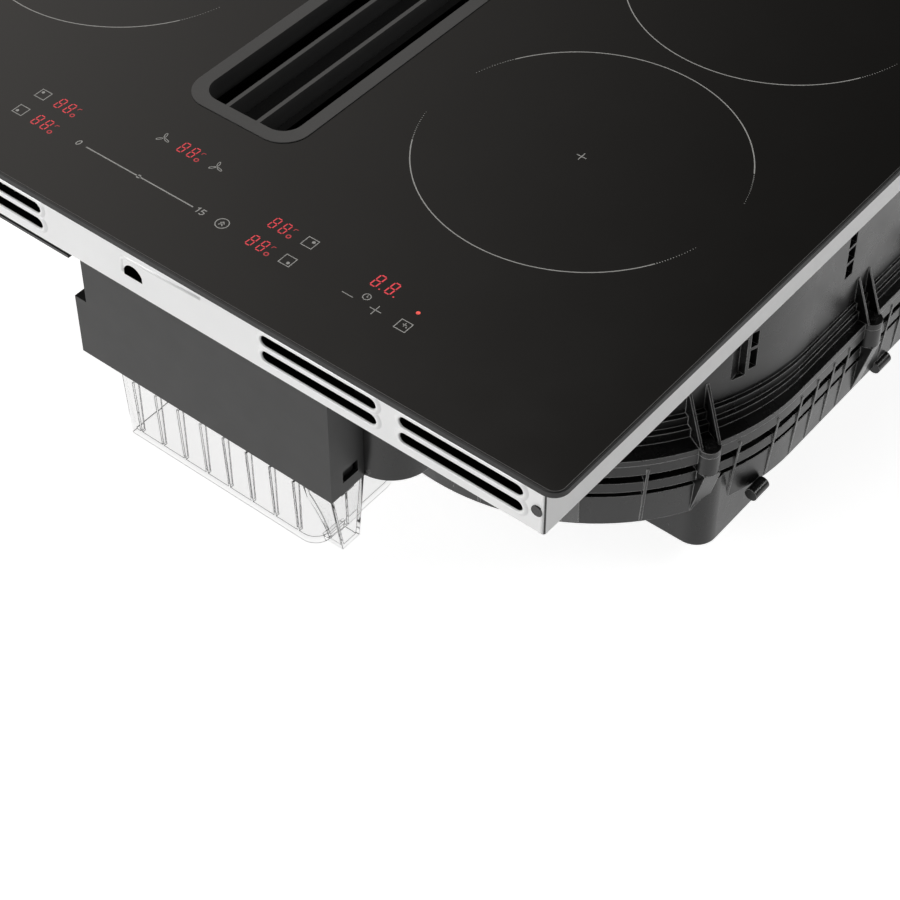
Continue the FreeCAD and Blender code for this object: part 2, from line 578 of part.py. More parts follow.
def cooling_fan(name, side):
    """Axial fan on the tray floor: square housing with struts, and its rotor."""
    x, y = number(side * S.fan_side), number(S.fan_back)
    low = number(TRAY_FLOOR)
    high = low + number(S.fan_height)
    half, wall = number(S.fan_size) / 2, number(S.fan_wall)
    bore = half - wall
    centre = (x, y)
    hub, pin = number(S.fan_hub_radius), number(S.fan_shaft_radius)
    housing = Part.makeBox(2 * half, 2 * half, high - low, VECTOR(x - half, y - half, low))
    housing = housing.cut(Part.makeCylinder(bore, high - low, VECTOR(x, y, low)))
    for turn in range(3):
        arm = Part.makeBox(bore + 1, 5, 3, VECTOR(0, -2.5, low))
        arm.rotate(VECTOR(), UP, 30 + 120 * turn)
        arm.translate(VECTOR(x, y, 0))
        housing = housing.fuse(arm)
    housing = housing.fuse(Part.makeCylinder(hub, 3, VECTOR(x, y, low)))
    housing = housing.fuse(Part.makeCylinder(5, 9, VECTOR(x, y, low)))
    housing = housing.cut(Part.makeCylinder(pin + number(S.shaft_fit), 7, VECTOR(x, y, low + 2)))
    sub_part(coded(f"cooling_fan_housing_{name}", housing.removeSplitter()), f"cooling_fan_housing_{name}")

    gap = number(S.fan_gap)
    base = low + 3 + gap
    rotor = ring_shape(hub, hub - 2, base, high - 2, centre)
    rotor = rotor.fuse(Part.makeCylinder(hub, 2, VECTOR(x, y, high - 4)))
    rotor = rotor.fuse(Part.makeCylinder(pin, high - 4 - (low + 2.5), VECTOR(x, y, low + 2.5)))
    for blade in range(7):
        vane = Part.makeBox(bore - gap - hub + 1, 1.4, 15, VECTOR(hub - 1, -0.7, 0))
        vane.rotate(VECTOR(), VECTOR(1, 0, 0), 40)
        vane.translate(VECTOR(0, 4.5, base + 1))
        vane.rotate(VECTOR(), UP, 360 * blade / 7)
        vane.translate(VECTOR(x, y, 0))
        rotor = rotor.fuse(vane)
    sub_part(coded(f"cooling_fan_rotor_{name}", rotor), f"cooling_fan_rotor_{name}")


def touch_controls():
    """Touch board under the front of the glass, its light frame and its displays."""
    y = S.touch_centre
    half_x, half_y = S.touch_width / 2, S.touch_depth / 2
    top = GLASS_BASE - S.sheet - S.touch_gap
    frame = block("light_frame_block", (-half_x, half_x), (y - half_y, y + half_y),
                  (top - S.light_frame_height, top))
    board_top = top - S.light_frame_height
    board = block("touch_board_plate", (-half_x, half_x), (y - half_y, y + half_y),
                  (board_top - S.board_thickness, board_top))
    places = [(-78.6, -199.4), (-77.6, -215.9), (-0.3, -186.1), (78, -201.1), (77, -217.3), (145.5, -201)]
    windows, displays = [], []
    for index, (dx, dy) in enumerate(places):
        x_pair = (dx - 9, dx + 9)
        y_pair = (dy - 5.5, dy + 5.5)
        windows.append(block(f"display_window_{index}", x_pair, y_pair, (board_top - 0.5, top + 1)))
        displays.append(block(f"display_{index}", (x_pair[0] + 0.4, x_pair[1] - 0.4),
                              (y_pair[0] + 0.4, y_pair[1] - 0.4), (board_top, top - 0.3)))
    slider = block("slider_window", (-46, 31), (y - 10, y - 8),
                   (board_top - 0.5, top + 1))
    sub_part(cut("light_frame", frame, windows + [slider]), "light_frame")
    sub_part(group("display_modules", displays), "display_modules")
    brackets = [block(f"touch_bracket_{index}", (x - 5, x + 5), (y - half_y + 2, y - half_y + 12),
                      (TRAY_FLOOR, board_top - S.board_thickness))
                for index, x in enumerate((8 - half_x, 0, half_x - 8))]
    sub_part(board, "touch_board")
    sub_part(group("touch_brackets", brackets), "touch_brackets")


def mains_connection():
    """Terminal block with its cover, and the bare gland in the tray's rear wall."""
    x = -TRAY_SIDE + 60
    half = S.terminal_width / 2
    rear = TRAY_FRONT - 18
    front = rear - S.terminal_depth
    low = TRAY_FLOOR
    block_body = block("terminal_body", (x - half, x + half), (front, rear), (low, low + S.terminal_height - 8))
    holes = [rod(f"terminal_screw_{index}", x - half + 7 + 12 * index, front + 8,
                 (low + 6, low + S.terminal_height), 3) for index in range(5)]
    holes += [rod(f"terminal_mouth_{index}", x - half + 7 + 12 * index, (front + 8, rear + 1), low + 6, 2.5, "y")
              for index in range(5)]
    sub_part(cut("terminal_block", block_body, holes), "terminal_block")
    cover = block("cover_outer", (x - half - 3, x + half + 3), (front - 3, rear + 3),
                  (low + S.terminal_height - 11, low + S.terminal_height))
    inside = block("cover_inner", (x - half, x + half), (front, rear),
                   (low + S.terminal_height - 12, low + S.terminal_height - 1.8))
    sub_part(cut("terminal_cover", cover, [inside]), "terminal_cover")
    centre_z = TRAY_FLOOR + 14
    gland = fuse("gland_solid", [
        rod("gland_neck", x, (TRAY_FRONT - 6, TRAY_FRONT + 0.3), centre_z, S.gland_radius - 0.05, "y"),
        rod("gland_nut", x, (TRAY_FRONT - 7, TRAY_FRONT - S.sheet), centre_z, S.gland_radius + 3, "y"),
        rod("gland_collar", x, (TRAY_FRONT, TRAY_FRONT + 1.8), centre_z, S.gland_radius + 3, "y")])
    bore = rod("gland_bore_hole", x, (TRAY_FRONT - 9, TRAY_FRONT + 3), centre_z, S.gland_bore, "y")
    sub_part(cut("cable_gland", gland, [bore]), "cable_gland")


# ---------------------------------------------------------------- blower shells
def scroll_sizes(share):
    """Right side, front radius, centre and left radius of the scroll's plan.

    Share 0 is the smooth upper wall, 1 the flange band and 2 the foot of the skirt.
    """
    out, under = min(share, 1), max(share - 1, 0)
    side = number(S.scroll_side) + number(S.band_out) * out - number(S.base_in) * under
    radius = number(S.scroll_radius) - number(S.band_tighter) * out - number(S.base_tighter) * under
    centre_y = number(S.scroll_centre) - number(S.band_forward) * out + number(S.base_back) * under
    left = number(S.scroll_left) + number(S.band_left) * out
    return side, radius, centre_y, side - radius + left


def scroll_outline(share, inset=0.0):
    """The scroll's plan at a share between its walls, moved inwards by an inset.

    From the back right corner forward along the right side, round the front and
    the left on two tangent arcs, and straight back from the tongue to the rear.
    """
    side, radius, centre_y, left_radius = scroll_sizes(share)
    centre_x = side - radius
    left_y = centre_y - radius + left_radius
    rear = number(S.scroll_rear) - inset
    tongue_x = number(S.tongue_side) + inset
    radius, left_radius, side = radius - inset, left_radius - inset, side - inset
    tongue = math.acos((tongue_x - centre_x) / left_radius)
    slant = radius / math.sqrt(2)
    corner, turn = VECTOR(side, rear, 0), VECTOR(side, centre_y, 0)
    front = VECTOR(centre_x, centre_y - radius, 0)
    on_front = VECTOR(centre_x + slant, centre_y - slant, 0)
    on_left = VECTOR(centre_x - left_radius, left_y, 0)
    lip = VECTOR(tongue_x, left_y + left_radius * math.sin(tongue), 0)
    heel = VECTOR(tongue_x, rear, 0)
    edges = [Part.LineSegment(corner, turn), Part.Arc(turn, on_front, front),
             Part.Arc(front, on_left, lip), Part.LineSegment(lip, heel), Part.LineSegment(heel, corner)]
    return Part.Wire([edge.toShape() for edge in edges])


def prism(wire, low, high):
    """A closed plan outline raised between two heights."""
    face = Part.Face(wire)
    face.translate(VECTOR(0, 0, number(low)))
    return face.extrude(VECTOR(0, 0, number(high) - number(low)))


def rounded_prism(left, right, front, rear, corners, low, high):
    """A block whose upright edges are rounded; corners: radius per (x sign, y sign)."""
    x0, x1, y0, y1 = (number(v) for v in (left, right, front, rear))
    solid = Part.makeBox(x1 - x0, y1 - y0, number(high) - number(low), VECTOR(x0, y0, number(low)))
    for (sx, sy), radius in corners.items():
        x, y = (x1 if sx > 0 else x0), (y1 if sy > 0 else y0)
        edge = [e for e in solid.Edges if abs(e.tangentAt(e.FirstParameter).z) > 0.99
                and abs(e.Vertexes[0].X - x) < 0.01 and abs(e.Vertexes[0].Y - y) < 0.01]
        solid = solid.makeFillet(number(radius), edge)
    return solid


STEPS = ((0, "step_1"), (0.19, "step_2"), (0.4, "step_3"), (1, "flange_seam"))
RIM_SHARE, SKIRT_SHARE, BASE_SHARE = 1.43, 1.6, 2


def wall_point(place):
    """A point on the flange band's plan and its outward direction.

    A place from 270 to 360 is an angle on the front arc; above 360 the excess is
    the distance in millimetres back along the straight right side.
    """
    side, radius, centre_y, _ = scroll_sizes(1)
    if place > 360:
        return VECTOR(side, centre_y + place - 360, 0), VECTOR(1, 0, 0)
    turn = math.radians(place)
    out = VECTOR(math.cos(turn), math.sin(turn), 0)
    return VECTOR(side - radius, centre_y, 0) + out * radius, out


def wall_distance(share, foot, out):
    """How far the scroll's wall lies from a plan point, along a direction."""
    side, radius, centre_y, _ = scroll_sizes(share)
    centre = VECTOR(side - radius, centre_y, 0)
    if abs(out.y) < 0.001 and foot.y >= centre.y:
        return side - foot.x
    along = (centre - foot).dot(out)
    across = (centre - foot - out * along).Length
    return along + math.sqrt(radius ** 2 - across ** 2)


def upright_plate(foot, out, profile, thickness=None):
    """A plate standing on the plan line from foot along out.

    profile: its corners as (distance along out, height) pairs.
    """
    thickness = number(S.rib_thickness) if thickness is None else thickness
    across = VECTOR(-out.y, out.x, 0) * (thickness / 2)
    corners = [foot + out * reach + VECTOR(0, 0, level) - across for reach, level in profile]
    return Part.Face(Part.makePolygon(corners + corners[:1])).extrude(across * 2)


BOSS_PLACES = (303, 333.5, 436.5, 509.8)
GUSSET_PLACES = (281, 292, 319.5, 341.6, 353.2, 365.2, 382, 398.9, 414.7, 460.4, 477.2, 494.1)


def blower_upper_shell():
    """Plenum box and stepped scroll cover in one moulding, open towards the tray."""
    wall = number(S.shell_wall)
    top, floor = -number(S.plenum_top), -number(S.plenum_floor)
    corner = number(S.plenum_corner)
    box_corners = {(1, -1): corner, (-1, -1): corner / 2, (-1, 1): corner / 2}
    shell = rounded_prism(-S.plenum_left, S.plenum_right, -S.plenum_front, S.plenum_rear, box_corners, floor, top)
    high = top
    for share, level in STEPS:
        low = -number(getattr(S, level))
        shell = shell.fuse(prism(scroll_outline(share), low, high))
        high = low
    thin = {key: radius - wall for key, radius in box_corners.items()}
    hollow = rounded_prism(wall - S.plenum_left, S.plenum_right - wall, wall - S.plenum_front,
                           S.plenum_rear - wall, thin, floor + wall, top + 1)
    hollow = hollow.fuse(prism(scroll_outline(0, wall), floor + wall, top + 1))
    cavity = hollow
    high = floor
    for share, level in STEPS:
        low = -number(getattr(S, level)) - wall
        cavity = cavity.fuse(prism(scroll_outline(share, wall), low, high))
        high = low
    shell = shell.cut(cavity)
    mouth_left = number(S.tongue_side) + wall
    mouth_right = number(S.scroll_side) - 2 * wall
    rear = number(S.scroll_rear)
    mouth_low = -number(S.flange_seam) - 1
    shell = shell.cut(Part.makeBox(mouth_right - mouth_left, 3 * wall, floor - wall - mouth_low,
                                   VECTOR(mouth_left, rear - 2 * wall, mouth_low)))
    nozzle_hole = number(S.nozzle_radius) + number(S.nozzle_wall) + 0.3
    shell = shell.cut(Part.makeCylinder(nozzle_hole, wall + 2, VECTOR(number(S.fan_x), number(S.fan_y), floor - 1)))
    drain = VECTOR(number(S.drain_x), -number(S.drain_y), floor - 1)
    shell = shell.cut(Part.makeCylinder(number(S.drain_radius), wall + 2, drain))
    seam, head = -number(S.flange_seam), -number(S.step_3)
    boss_radius = number(S.boss_radius)
    fin_top = head + number(S.fin_height)
    for place in BOSS_PLACES:
        foot, out = wall_point(place)
        shell = shell.fuse(Part.makeCylinder(boss_radius, head - seam, VECTOR(foot.x, foot.y, seam)).cut(cavity))
        for side in (-1, 1):
            root = foot + VECTOR(-out.y, out.x, 0) * (side * boss_radius * 0.85)
            near = wall_distance(0, root, out)
            shell = shell.fuse(upright_plate(root, out, (
                (near - 1, head - 1), (near - 1, fin_top), (near + 0.6, fin_top),
                (boss_radius / 4, head), (boss_radius / 4, head - 1))).cut(cavity))
        shell = shell.cut(Part.makeCylinder(number(S.screw_radius) + 0.2, head - seam + 2,
                                            VECTOR(foot.x, foot.y, seam - 1)))
    for backing, pockets in wall_windows():
        shell = shell.fuse(backing.common(prism(scroll_outline(0, wall / 2), -number(S.plenum_floor), top - 3)))
        shell = shell.cut(pockets)
    return sub_part(coded("blower_upper_shell", shell.removeSplitter()), "blower_upper_shell")


def wall_windows():
    """Columns of deep snap pockets in the scroll's smooth right side, with their inner walls.

    Each column: front edge, width, depth, and the top and bottom of each pocket below the
    worktop.
    """
    wall = number(S.shell_wall)
    columns = (
        (53.2, 7.8, 9, ((74.5, 83.8), (85.2, 95.2), (96.6, 106.8))),
        (-29, 5, 9, ((91, 102), (104, 118))),
    )
    for front, width, depth, pockets in columns:
        reach = number(S.scroll_side) / 2
        reach += wall_distance(0, VECTOR(reach, front, 0), VECTOR(1, 0, 0))
        high, low = -pockets[0][0], -pockets[-1][1]
        backing = Part.makeBox(depth + wall, width + 2 * wall, high - low + 2 * wall,
                               VECTOR(reach - depth - wall, front - wall, low - wall))
        holes = [Part.makeBox(depth + wall, width, bottom - upper,
                              VECTOR(reach - depth, front, -bottom)) for upper, bottom in pockets]
        yield backing, Part.makeCompound(holes)
    front, rear, depth, upper, lower = -40, -31, 4.5, 94, 121
    reach = number(S.scroll_side) / 2
    near = reach + wall_distance(0, VECTOR(reach, front, 0), VECTOR(1, 0, 0))
    far = reach + wall_distance(0, VECTOR(reach, rear, 0), VECTOR(1, 0, 0))
    backing = Part.makeBox(depth + wall, rear - front + 2 * wall, lower - upper + 2 * wall,
                           VECTOR(near - depth - wall, front - wall, -lower - wall))
    corners = [VECTOR(near, front, -lower), VECTOR(far + 1, front, -lower), VECTOR(far + 1, rear, -lower),
               VECTOR(far - depth, rear, -lower)]
    wedge = Part.Face(Part.makePolygon(corners + corners[:1])).extrude(VECTOR(0, 0, lower - upper))
    yield backing, wedge


def blower_lower_shell():
    """Scroll floor and skirt with its gussets, screw posts, corner foot and clips."""
    wall, groove = number(S.shell_wall), number(S.groove_inset)
    seam, band = -number(S.flange_seam), -number(S.band_base)
    rim_top, rim_base, skirt = -number(S.rim_top), -number(S.rim_base), -number(S.skirt_top)
    base = -number(S.blower_base)
    inner = prism(scroll_outline(BASE_SHARE, wall + groove), base + wall, seam + 1)
    shell = prism(scroll_outline(1), band, seam)
    shell = shell.fuse(prism(scroll_outline(BASE_SHARE, groove), skirt, band))
    shell = shell.fuse(prism(scroll_outline(RIM_SHARE), rim_base, rim_top))
    upper, lower = scroll_outline(SKIRT_SHARE), scroll_outline(BASE_SHARE)
    upper.translate(VECTOR(0, 0, skirt))
    lower.translate(VECTOR(0, 0, base))
    shell = shell.fuse(Part.makeLoft([lower, upper], True, True))
    foot_right = scroll_sizes(BASE_SHARE)[0] - number(S.foot_inset)
    shell = shell.fuse(rounded_prism(foot_right - number(S.foot_width), foot_right, -S.foot_front,
                                     S.foot_depth - S.foot_front, {(1, -1): S.foot_corner},
                                     base - number(S.foot_drop), skirt))
    radius = number(S.boss_radius)
    post_low = seam - number(S.boss_post)
    ribs = []
    for place in GUSSET_PLACES + BOSS_PLACES:
        foot, out = wall_point(place)
        near = wall_distance(BASE_SHARE, foot, out)
        under_boss = place in BOSS_PLACES
        reach, level = (radius * 0.9, post_low) if under_boss else (0.6, seam - 3.5)
        ribs.append(upright_plate(foot, out, (
            (near - wall, base + 1), (near + 0.3, base + 1), (reach, level), (near - wall, level)),
            radius * 1.5 if under_boss else None))
    for place in BOSS_PLACES:
        foot, _ = wall_point(place)
        ribs.append(Part.makeCylinder(radius, seam - post_low, VECTOR(foot.x, foot.y, post_low)))
    shell = shell.multiFuse(ribs).cut(inner)
    for place in BOSS_PLACES:
        foot, _ = wall_point(place)
        shell = shell.cut(Part.makeCylinder(number(S.screw_radius) + 0.2, number(S.screw_length),
                                            VECTOR(foot.x, foot.y, seam - number(S.screw_length) + 1)))
    side = scroll_sizes(BASE_SHARE)[0]
    for middle in (-28, 103):
        clip = Part.makeCylinder(number(S.clip_radius), 13, VECTOR(side + 0.5, middle - 6.5, base - 0.5), VECTOR(0, 1, 0))
        shell = shell.fuse(clip.cut(inner))
    shell = shell.fuse(cutoff_wall(base + wall, -number(S.plenum_floor) - 2))
    mouth_left, mouth_right = number(S.tongue_side) + wall, side - 3 * wall
    shell = shell.cut(Part.makeBox(mouth_right - mouth_left, 4 * wall, seam + 1 - base - wall,
                                   VECTOR(mouth_left, number(S.scroll_rear) - 3 * wall, base + wall)))
    centre = VECTOR(number(S.fan_x), number(S.fan_y), base - 1)
    shell = shell.cut(Part.makeCylinder(number(S.motor_shaft_radius) + 6, wall + 2, centre))
    for spot in motor_screw_places():
        shell = shell.cut(Part.makeCylinder(number(S.screw_radius) + 0.2, wall + 2, spot + VECTOR(0, 0, base - 1)))
    return sub_part(coded("blower_lower_shell", shell.removeSplitter()), "blower_lower_shell")


def cutoff_wall(low, high):
    """The wall that closes the scroll in on the wheel and leads to the outlet."""
    centre = VECTOR(number(S.fan_x), number(S.fan_y), 0)
    tip = number(S.wheel_radius) + number(S.cutoff_gap)
    thickness = number(S.shell_wall)
    inner, outer = [], []
    for step in range(7):
        turn = math.radians(104 + 11 * step)
        radius = tip + 19 * (step / 6) ** 1.3
        out = VECTOR(math.cos(turn), math.sin(turn), 0)
        inner.append(centre + out * radius)
        outer.append(centre + out * (radius + thickness))
    curve, back = Part.BSplineCurve(), Part.BSplineCurve()
    curve.interpolate(inner)
    back.interpolate(outer)
    sides = [curve.toShape(), back.toShape(), Part.makeLine(inner[0], outer[0]), Part.makeLine(inner[-1], outer[-1])]
    arc = prism(Part.Wire(Part.__sortEdges__(sides)), low, high)
    heel = VECTOR(number(S.tongue_side) + 1, 150, 0)
    lead = (heel - inner[0]).normalize()
    across = VECTOR(-lead.y, lead.x, 0) * thickness
    start, end = inner[0] + lead * 0.2, heel
    straight = Part.makePolygon([start, end, end + across, start + across, start])
    return arc.fuse(prism(straight, low, high)).common(prism(scroll_outline(0, thickness + 0.4), low, high))


def motor_screw_places():
    """Plan points of the three screws that hold the motor to the scroll floor."""
    reach = number(S.motor_plate_radius) - 8
    places = []
    for turn in range(3):
        angle = math.radians(90 + 120 * turn)
        places.append(VECTOR(number(S.fan_x) + reach * math.cos(angle), number(S.fan_y) + reach * math.sin(angle), 0))
    return places


def housing_screws():
    """Flange screws down through the bosses, and motor screws up through the floor."""
    head = -number(S.step_3)
    screws = []
    for place in BOSS_PLACES:
        foot, _ = wall_point(place)
        shank_low = -number(S.flange_seam) - number(S.screw_length) + 3
        screw = Part.makeCylinder(number(S.screw_head_radius), number(S.screw_head), VECTOR(foot.x, foot.y, head))
        screw = screw.fuse(Part.makeCylinder(number(S.screw_radius), head - shank_low, VECTOR(foot.x, foot.y, shank_low)))
        screws.append(screw)
    base = -number(S.blower_base)
    for spot in motor_screw_places():
        low = spot + VECTOR(0, 0, base)
        screw = Part.makeCylinder(number(S.screw_head_radius), number(S.screw_head) / 2,
                                  low - VECTOR(0, 0, number(S.screw_head) / 2))
        screws.append(screw.fuse(Part.makeCylinder(number(S.screw_radius), number(S.shell_wall) + 3.5, low)))
    return sub_part(coded("housing_screws", Part.makeCompound(screws)), "housing_screws")


def plenum_seal():
    """Foam ring that closes the plenum against the underside of the tray."""
    margin = S.seal_margin
    ring = rounded_plate("plenum_seal_ring", (0, SHAFT_X + margin), (INTAKE_Y, SHAFT_Y + margin),
                         (TRAY_BASE - (S.plenum_top - S.tray_height + S.seal_thickness), TRAY_BASE),
                         SHAFT_CORNER, [(SHAFT_X + 1, SHAFT_Y + 1, SHAFT_CORNER)])
    return sub_part(ring, "plenum_seal")


def plenum_lid():
    """Flat lid of the plenum and scroll, with the opening for the intake shaft."""
    wall = number(S.shell_wall)
    top = -number(S.plenum_top)
    low = top - 2
    corner = number(S.plenum_corner)
    corners = {(1, -1): corner - wall, (-1, -1): corner / 2 - wall, (-1, 1): corner / 2 - wall}
    gap = 0.2
    lid = rounded_prism(wall + gap - S.plenum_left, S.plenum_right - wall - gap, wall + gap - S.plenum_front,
                        S.plenum_rear - wall - gap, corners, low, top)
    lid = lid.fuse(prism(scroll_outline(0, wall + gap), low, top))
    half_x, half_y, middle = (number(v) for v in (SHAFT_X, SHAFT_Y, INTAKE_Y))
    hole_gap = 0.4
    turn = number(SHAFT_CORNER)
    hole = rounded_prism(-half_x - hole_gap, half_x + hole_gap, middle - half_y - hole_gap, middle + half_y + hole_gap,
                         {(1, -1): turn, (-1, -1): turn, (-1, 1): turn, (1, 1): turn}, low - 1, top + 1)
    return sub_part(coded("plenum_lid", lid.cut(hole).removeSplitter()), "plenum_lid")


def base_cover():
    """Two-layer cover under the left side of the tray, with a groove round it."""
    top = TRAY_BASE
    groove_top = top - S.cover_layer
    groove_low = groove_top - S.cover_groove
    x = (-S.cover_left, -S.cover_right)
    y = (-S.cover_front, S.cover_rear)
    inset = 2.5
    layers = [block("cover_upper", x, y, (groove_top, top)),
              block("cover_core", (x[0] + inset, x[1] - inset), (y[0] + inset, y[1] - inset), (groove_low, groove_top)),
              block("cover_lower", x, y, (groove_low - S.cover_layer, groove_low))]
    return sub_part(fuse("base_cover", layers), "base_cover")


# ---------------------------------------------------------------- outlet
def outlet_spigot():
    """Flanged rectangular sleeve for a flat duct, screwed over the scroll's mouth."""
    wall = S.duct_wall
    right = S.scroll_side + 1
    left = right - S.duct_width
    low, high = -S.blower_base + 0.4, S.duct_height - S.blower_base + 0.4
    outer = block("spigot_outer", (left, right), (S.scroll_rear, S.duct_rear), (low, high))
    inner = block("spigot_inner", (left + wall, right - wall), (S.scroll_rear + wall, S.duct_rear + 1),
                  (low + wall, high - wall))
    mouth = block("spigot_mouth", (S.tongue_side + S.shell_wall, S.scroll_side - S.shell_wall * 2),
                  (S.scroll_rear - 1, S.scroll_rear + wall + 1),
                  (-S.blower_base + S.shell_wall, -S.plenum_floor - S.shell_wall))
    return sub_part(cut("outlet_spigot", outer, [inner, mouth]), "outlet_spigot")


# ---------------------------------------------------------------- blower inside
def nozzle():
    """Bell-mouthed inlet ring between the plenum floor and the wheel."""
    radius, wall = number(S.nozzle_radius), number(S.nozzle_wall)
    floor = -number(S.plenum_floor) + number(S.shell_wall)
    low = -number(S.plenum_floor) - number(S.nozzle_depth)
    x, y = number(S.fan_x), number(S.fan_y)
    lip = 6
    outline = [VECTOR(radius, 0, low), VECTOR(radius + wall, 0, low), VECTOR(radius + wall, 0, floor),
               VECTOR(radius + wall + lip, 0, floor), VECTOR(radius + wall + lip, 0, floor + wall)]
    path = Part.makePolygon(outline)
    bell = Part.Arc(outline[-1], VECTOR(radius + 2.4, 0, floor + wall - 2.2), VECTOR(radius, 0, floor - 6)).toShape()
    side = Part.makeLine(VECTOR(radius, 0, floor - 6), outline[0])
    ring = Part.Face(Part.Wire(path.Edges + [bell, side])).revolve(VECTOR(), UP, 360)
    ring.translate(VECTOR(x, y, 0))
    return sub_part(coded("inlet_nozzle", ring), "inlet_nozzle")


def fan_wheel():
    """Drum wheel with forward-curved blades between a back plate and a top ring."""
    x, y = number(S.fan_x), number(S.fan_y)
    low = -number(S.wheel_base)
    high = low + number(S.wheel_height)
    sheet, outer, depth = number(S.wheel_sheet), number(S.wheel_radius), number(S.blade_depth)
    inner = outer - depth
    cup = number(S.motor_radius)
    centre = (0, 0)
    wheel = ring_shape(outer, cup - 0.5, low, low + 2 * sheet, centre)
    wheel = wheel.fuse(ring_shape(outer, inner + 1, high - 2 * sheet, high, centre))
    bend = depth * 0.95
    blade = ring_shape(bend + sheet / 2, bend - sheet / 2, low + sheet, high - sheet,
                       (inner + depth * 0.35, bend * 0.86))
    blade = blade.common(ring_shape(outer - 0.6, inner + 1, low, high, centre))
    blade = blade.common(Part.makeBox(outer, bend * 0.9, high - low, VECTOR(inner - 4, -bend * 0.4, low)))
    count = int(number(S.wheel_blades))
    blades = []
    for turn in range(count):
        vane = blade.copy()
        vane.rotate(VECTOR(), UP, 360 * turn / count)
        blades.append(vane)
    wheel = wheel.multiFuse(blades)
    wheel.translate(VECTOR(x, y, 0))
    return sub_part(coded("fan_wheel", wheel.removeSplitter()), "fan_wheel")


def motor():
    """Outer-rotor motor: a fixed core on the scroll floor and a cup with the shaft."""
    x, y = number(S.fan_x), number(S.fan_y)
    floor = -number(S.blower_base) + number(S.shell_wall)
    shaft, fit = number(S.motor_shaft_radius), number(S.shaft_fit)
    cup, plate = number(S.motor_radius), 2.0
    core = cup - plate - number(S.motor_gap)
    top = floor + number(S.motor_height)
    place = VECTOR(x, y, floor)
    stator = Part.makeCylinder(number(S.motor_plate_radius), plate, place)
    stator = stator.fuse(Part.makeCylinder(core, 16, place + VECTOR(0, 0, 8)))
    stator = stator.fuse(Part.makeCylinder(12, number(S.motor_height) - 3, place))
    for turn in range(12):
        slot = Part.makeBox(12, 3, 18, VECTOR(core - 10, -1.5, floor + 7))
        slot.rotate(VECTOR(), UP, 30 * turn)
        slot.translate(VECTOR(x, y, 0))
        stator = stator.cut(slot)
    stator = stator.cut(Part.makeCylinder(shaft + fit, number(S.motor_height), place))
    for spot in motor_screw_places():
        stator = stator.cut(Part.makeCylinder(number(S.screw_radius) + 0.2, plate + 2, spot + VECTOR(0, 0, floor - 1)))
    sub_part(coded("motor_stator", stator.removeSplitter()), "motor_stator")

    low = -number(S.wheel_base)
    rotor = ring_shape(cup - 0.5, cup - plate, low, top + plate, (x, y))
    rotor = rotor.fuse(Part.makeCylinder(cup - 0.5, plate, VECTOR(x, y, top)))
    rotor = rotor.fuse(Part.makeCylinder(shaft, top - floor + 0.5, VECTOR(x, y, floor - 0.5)))
    for turn in range(6):
        hole = Part.makeCylinder(6, plate + 2, VECTOR(26, 0, top - 1))
        hole.rotate(VECTOR(), UP, 60 * turn)
        hole.translate(VECTOR(x, y, 0))
        rotor = rotor.cut(hole)
    sub_part(coded("motor_rotor", rotor.removeSplitter()), "motor_rotor")


def blower_electronics():
    """Closed box with the blower's driver, beside the plenum under the tray."""
    right = -S.plenum_left - 1
    box = block("driver_box_outer", (right - S.blower_box_width, right), (S.cover_rear + 4,
                S.cover_rear + 4 + S.blower_box_depth), (TRAY_BASE - S.blower_box_height, TRAY_BASE))
    hollow = block("driver_box_inner", (right - S.blower_box_width + 2, right - 2),
                   (S.cover_rear + 6, S.cover_rear + 2 + S.blower_box_depth),
                   (TRAY_BASE - S.blower_box_height + 2, TRAY_BASE - 2))
    sub_part(cut("driver_box", box, [hollow]), "driver_box")
    board = block("driver_board", (right - S.blower_box_width + 2, right - 2),
                  (S.cover_rear + 8, S.cover_rear + S.blower_box_depth),
                  (TRAY_BASE - S.blower_box_height + 8, TRAY_BASE - S.blower_box_height + 8 + S.board_thickness))
    sub_part(board, "driver_board")


# ---------------------------------------------------------------- liquid tank
LATCH_Y = (-225, -215)
LATCH_SLOT = (-226, -214)


def tank_housing():
    """Stepped hood in front of the plenum, with a window for the tank's latch."""
    top, low = -S.plenum_top, -S.tank_box_base
    y = (-S.tank_box_front, -S.plenum_front)
    wall = S.tank_box_wall
    upper = block("hood_upper", (-S.tank_box_left, S.tank_box_right), y, (low, top))
    lower = block("hood_lower", (-S.tank_rim_left, 0), y, (low, -S.tank_rim_drop))
    upper_hollow = block("hood_upper_hollow", (wall - S.tank_box_left, S.tank_box_right - wall),
                         (wall - S.tank_box_front, -S.plenum_front - wall), (low + wall, top - wall))
    lower_hollow = block("hood_lower_hollow", (wall - S.tank_rim_left, 0),
                         (wall - S.tank_box_front, -S.plenum_front - wall), (low + wall, -S.tank_rim_drop - wall))
    tools = [upper_hollow, lower_hollow]
    for name, (left, right) in latch_places().items():
        tools.append(block(f"latch_slot_{name}", (left - 0.6, right + 0.6), LATCH_SLOT,
                           (low - 1, low + wall + 1)))
    tools.append(block("latch_window", (S.tank_box_right - wall - 1, S.tank_box_right + 1),
                       LATCH_SLOT, (-S.tank_box_base + 8, -S.tank_box_base + 16.5)))
    return sub_part(cut("tank_housing", fuse("hood_solid", [upper, lower]), tools), "tank_housing")


def latch_places():
    """X range of the tank's two spring latches inside the hood."""
    gap = 0.6
    right = S.tank_box_right - S.tank_box_wall - gap
    left = S.tank_box_wall + gap - S.tank_rim_left
    return {"left": (left, left + S.latch_thickness), "right": (right - S.latch_thickness, right)}


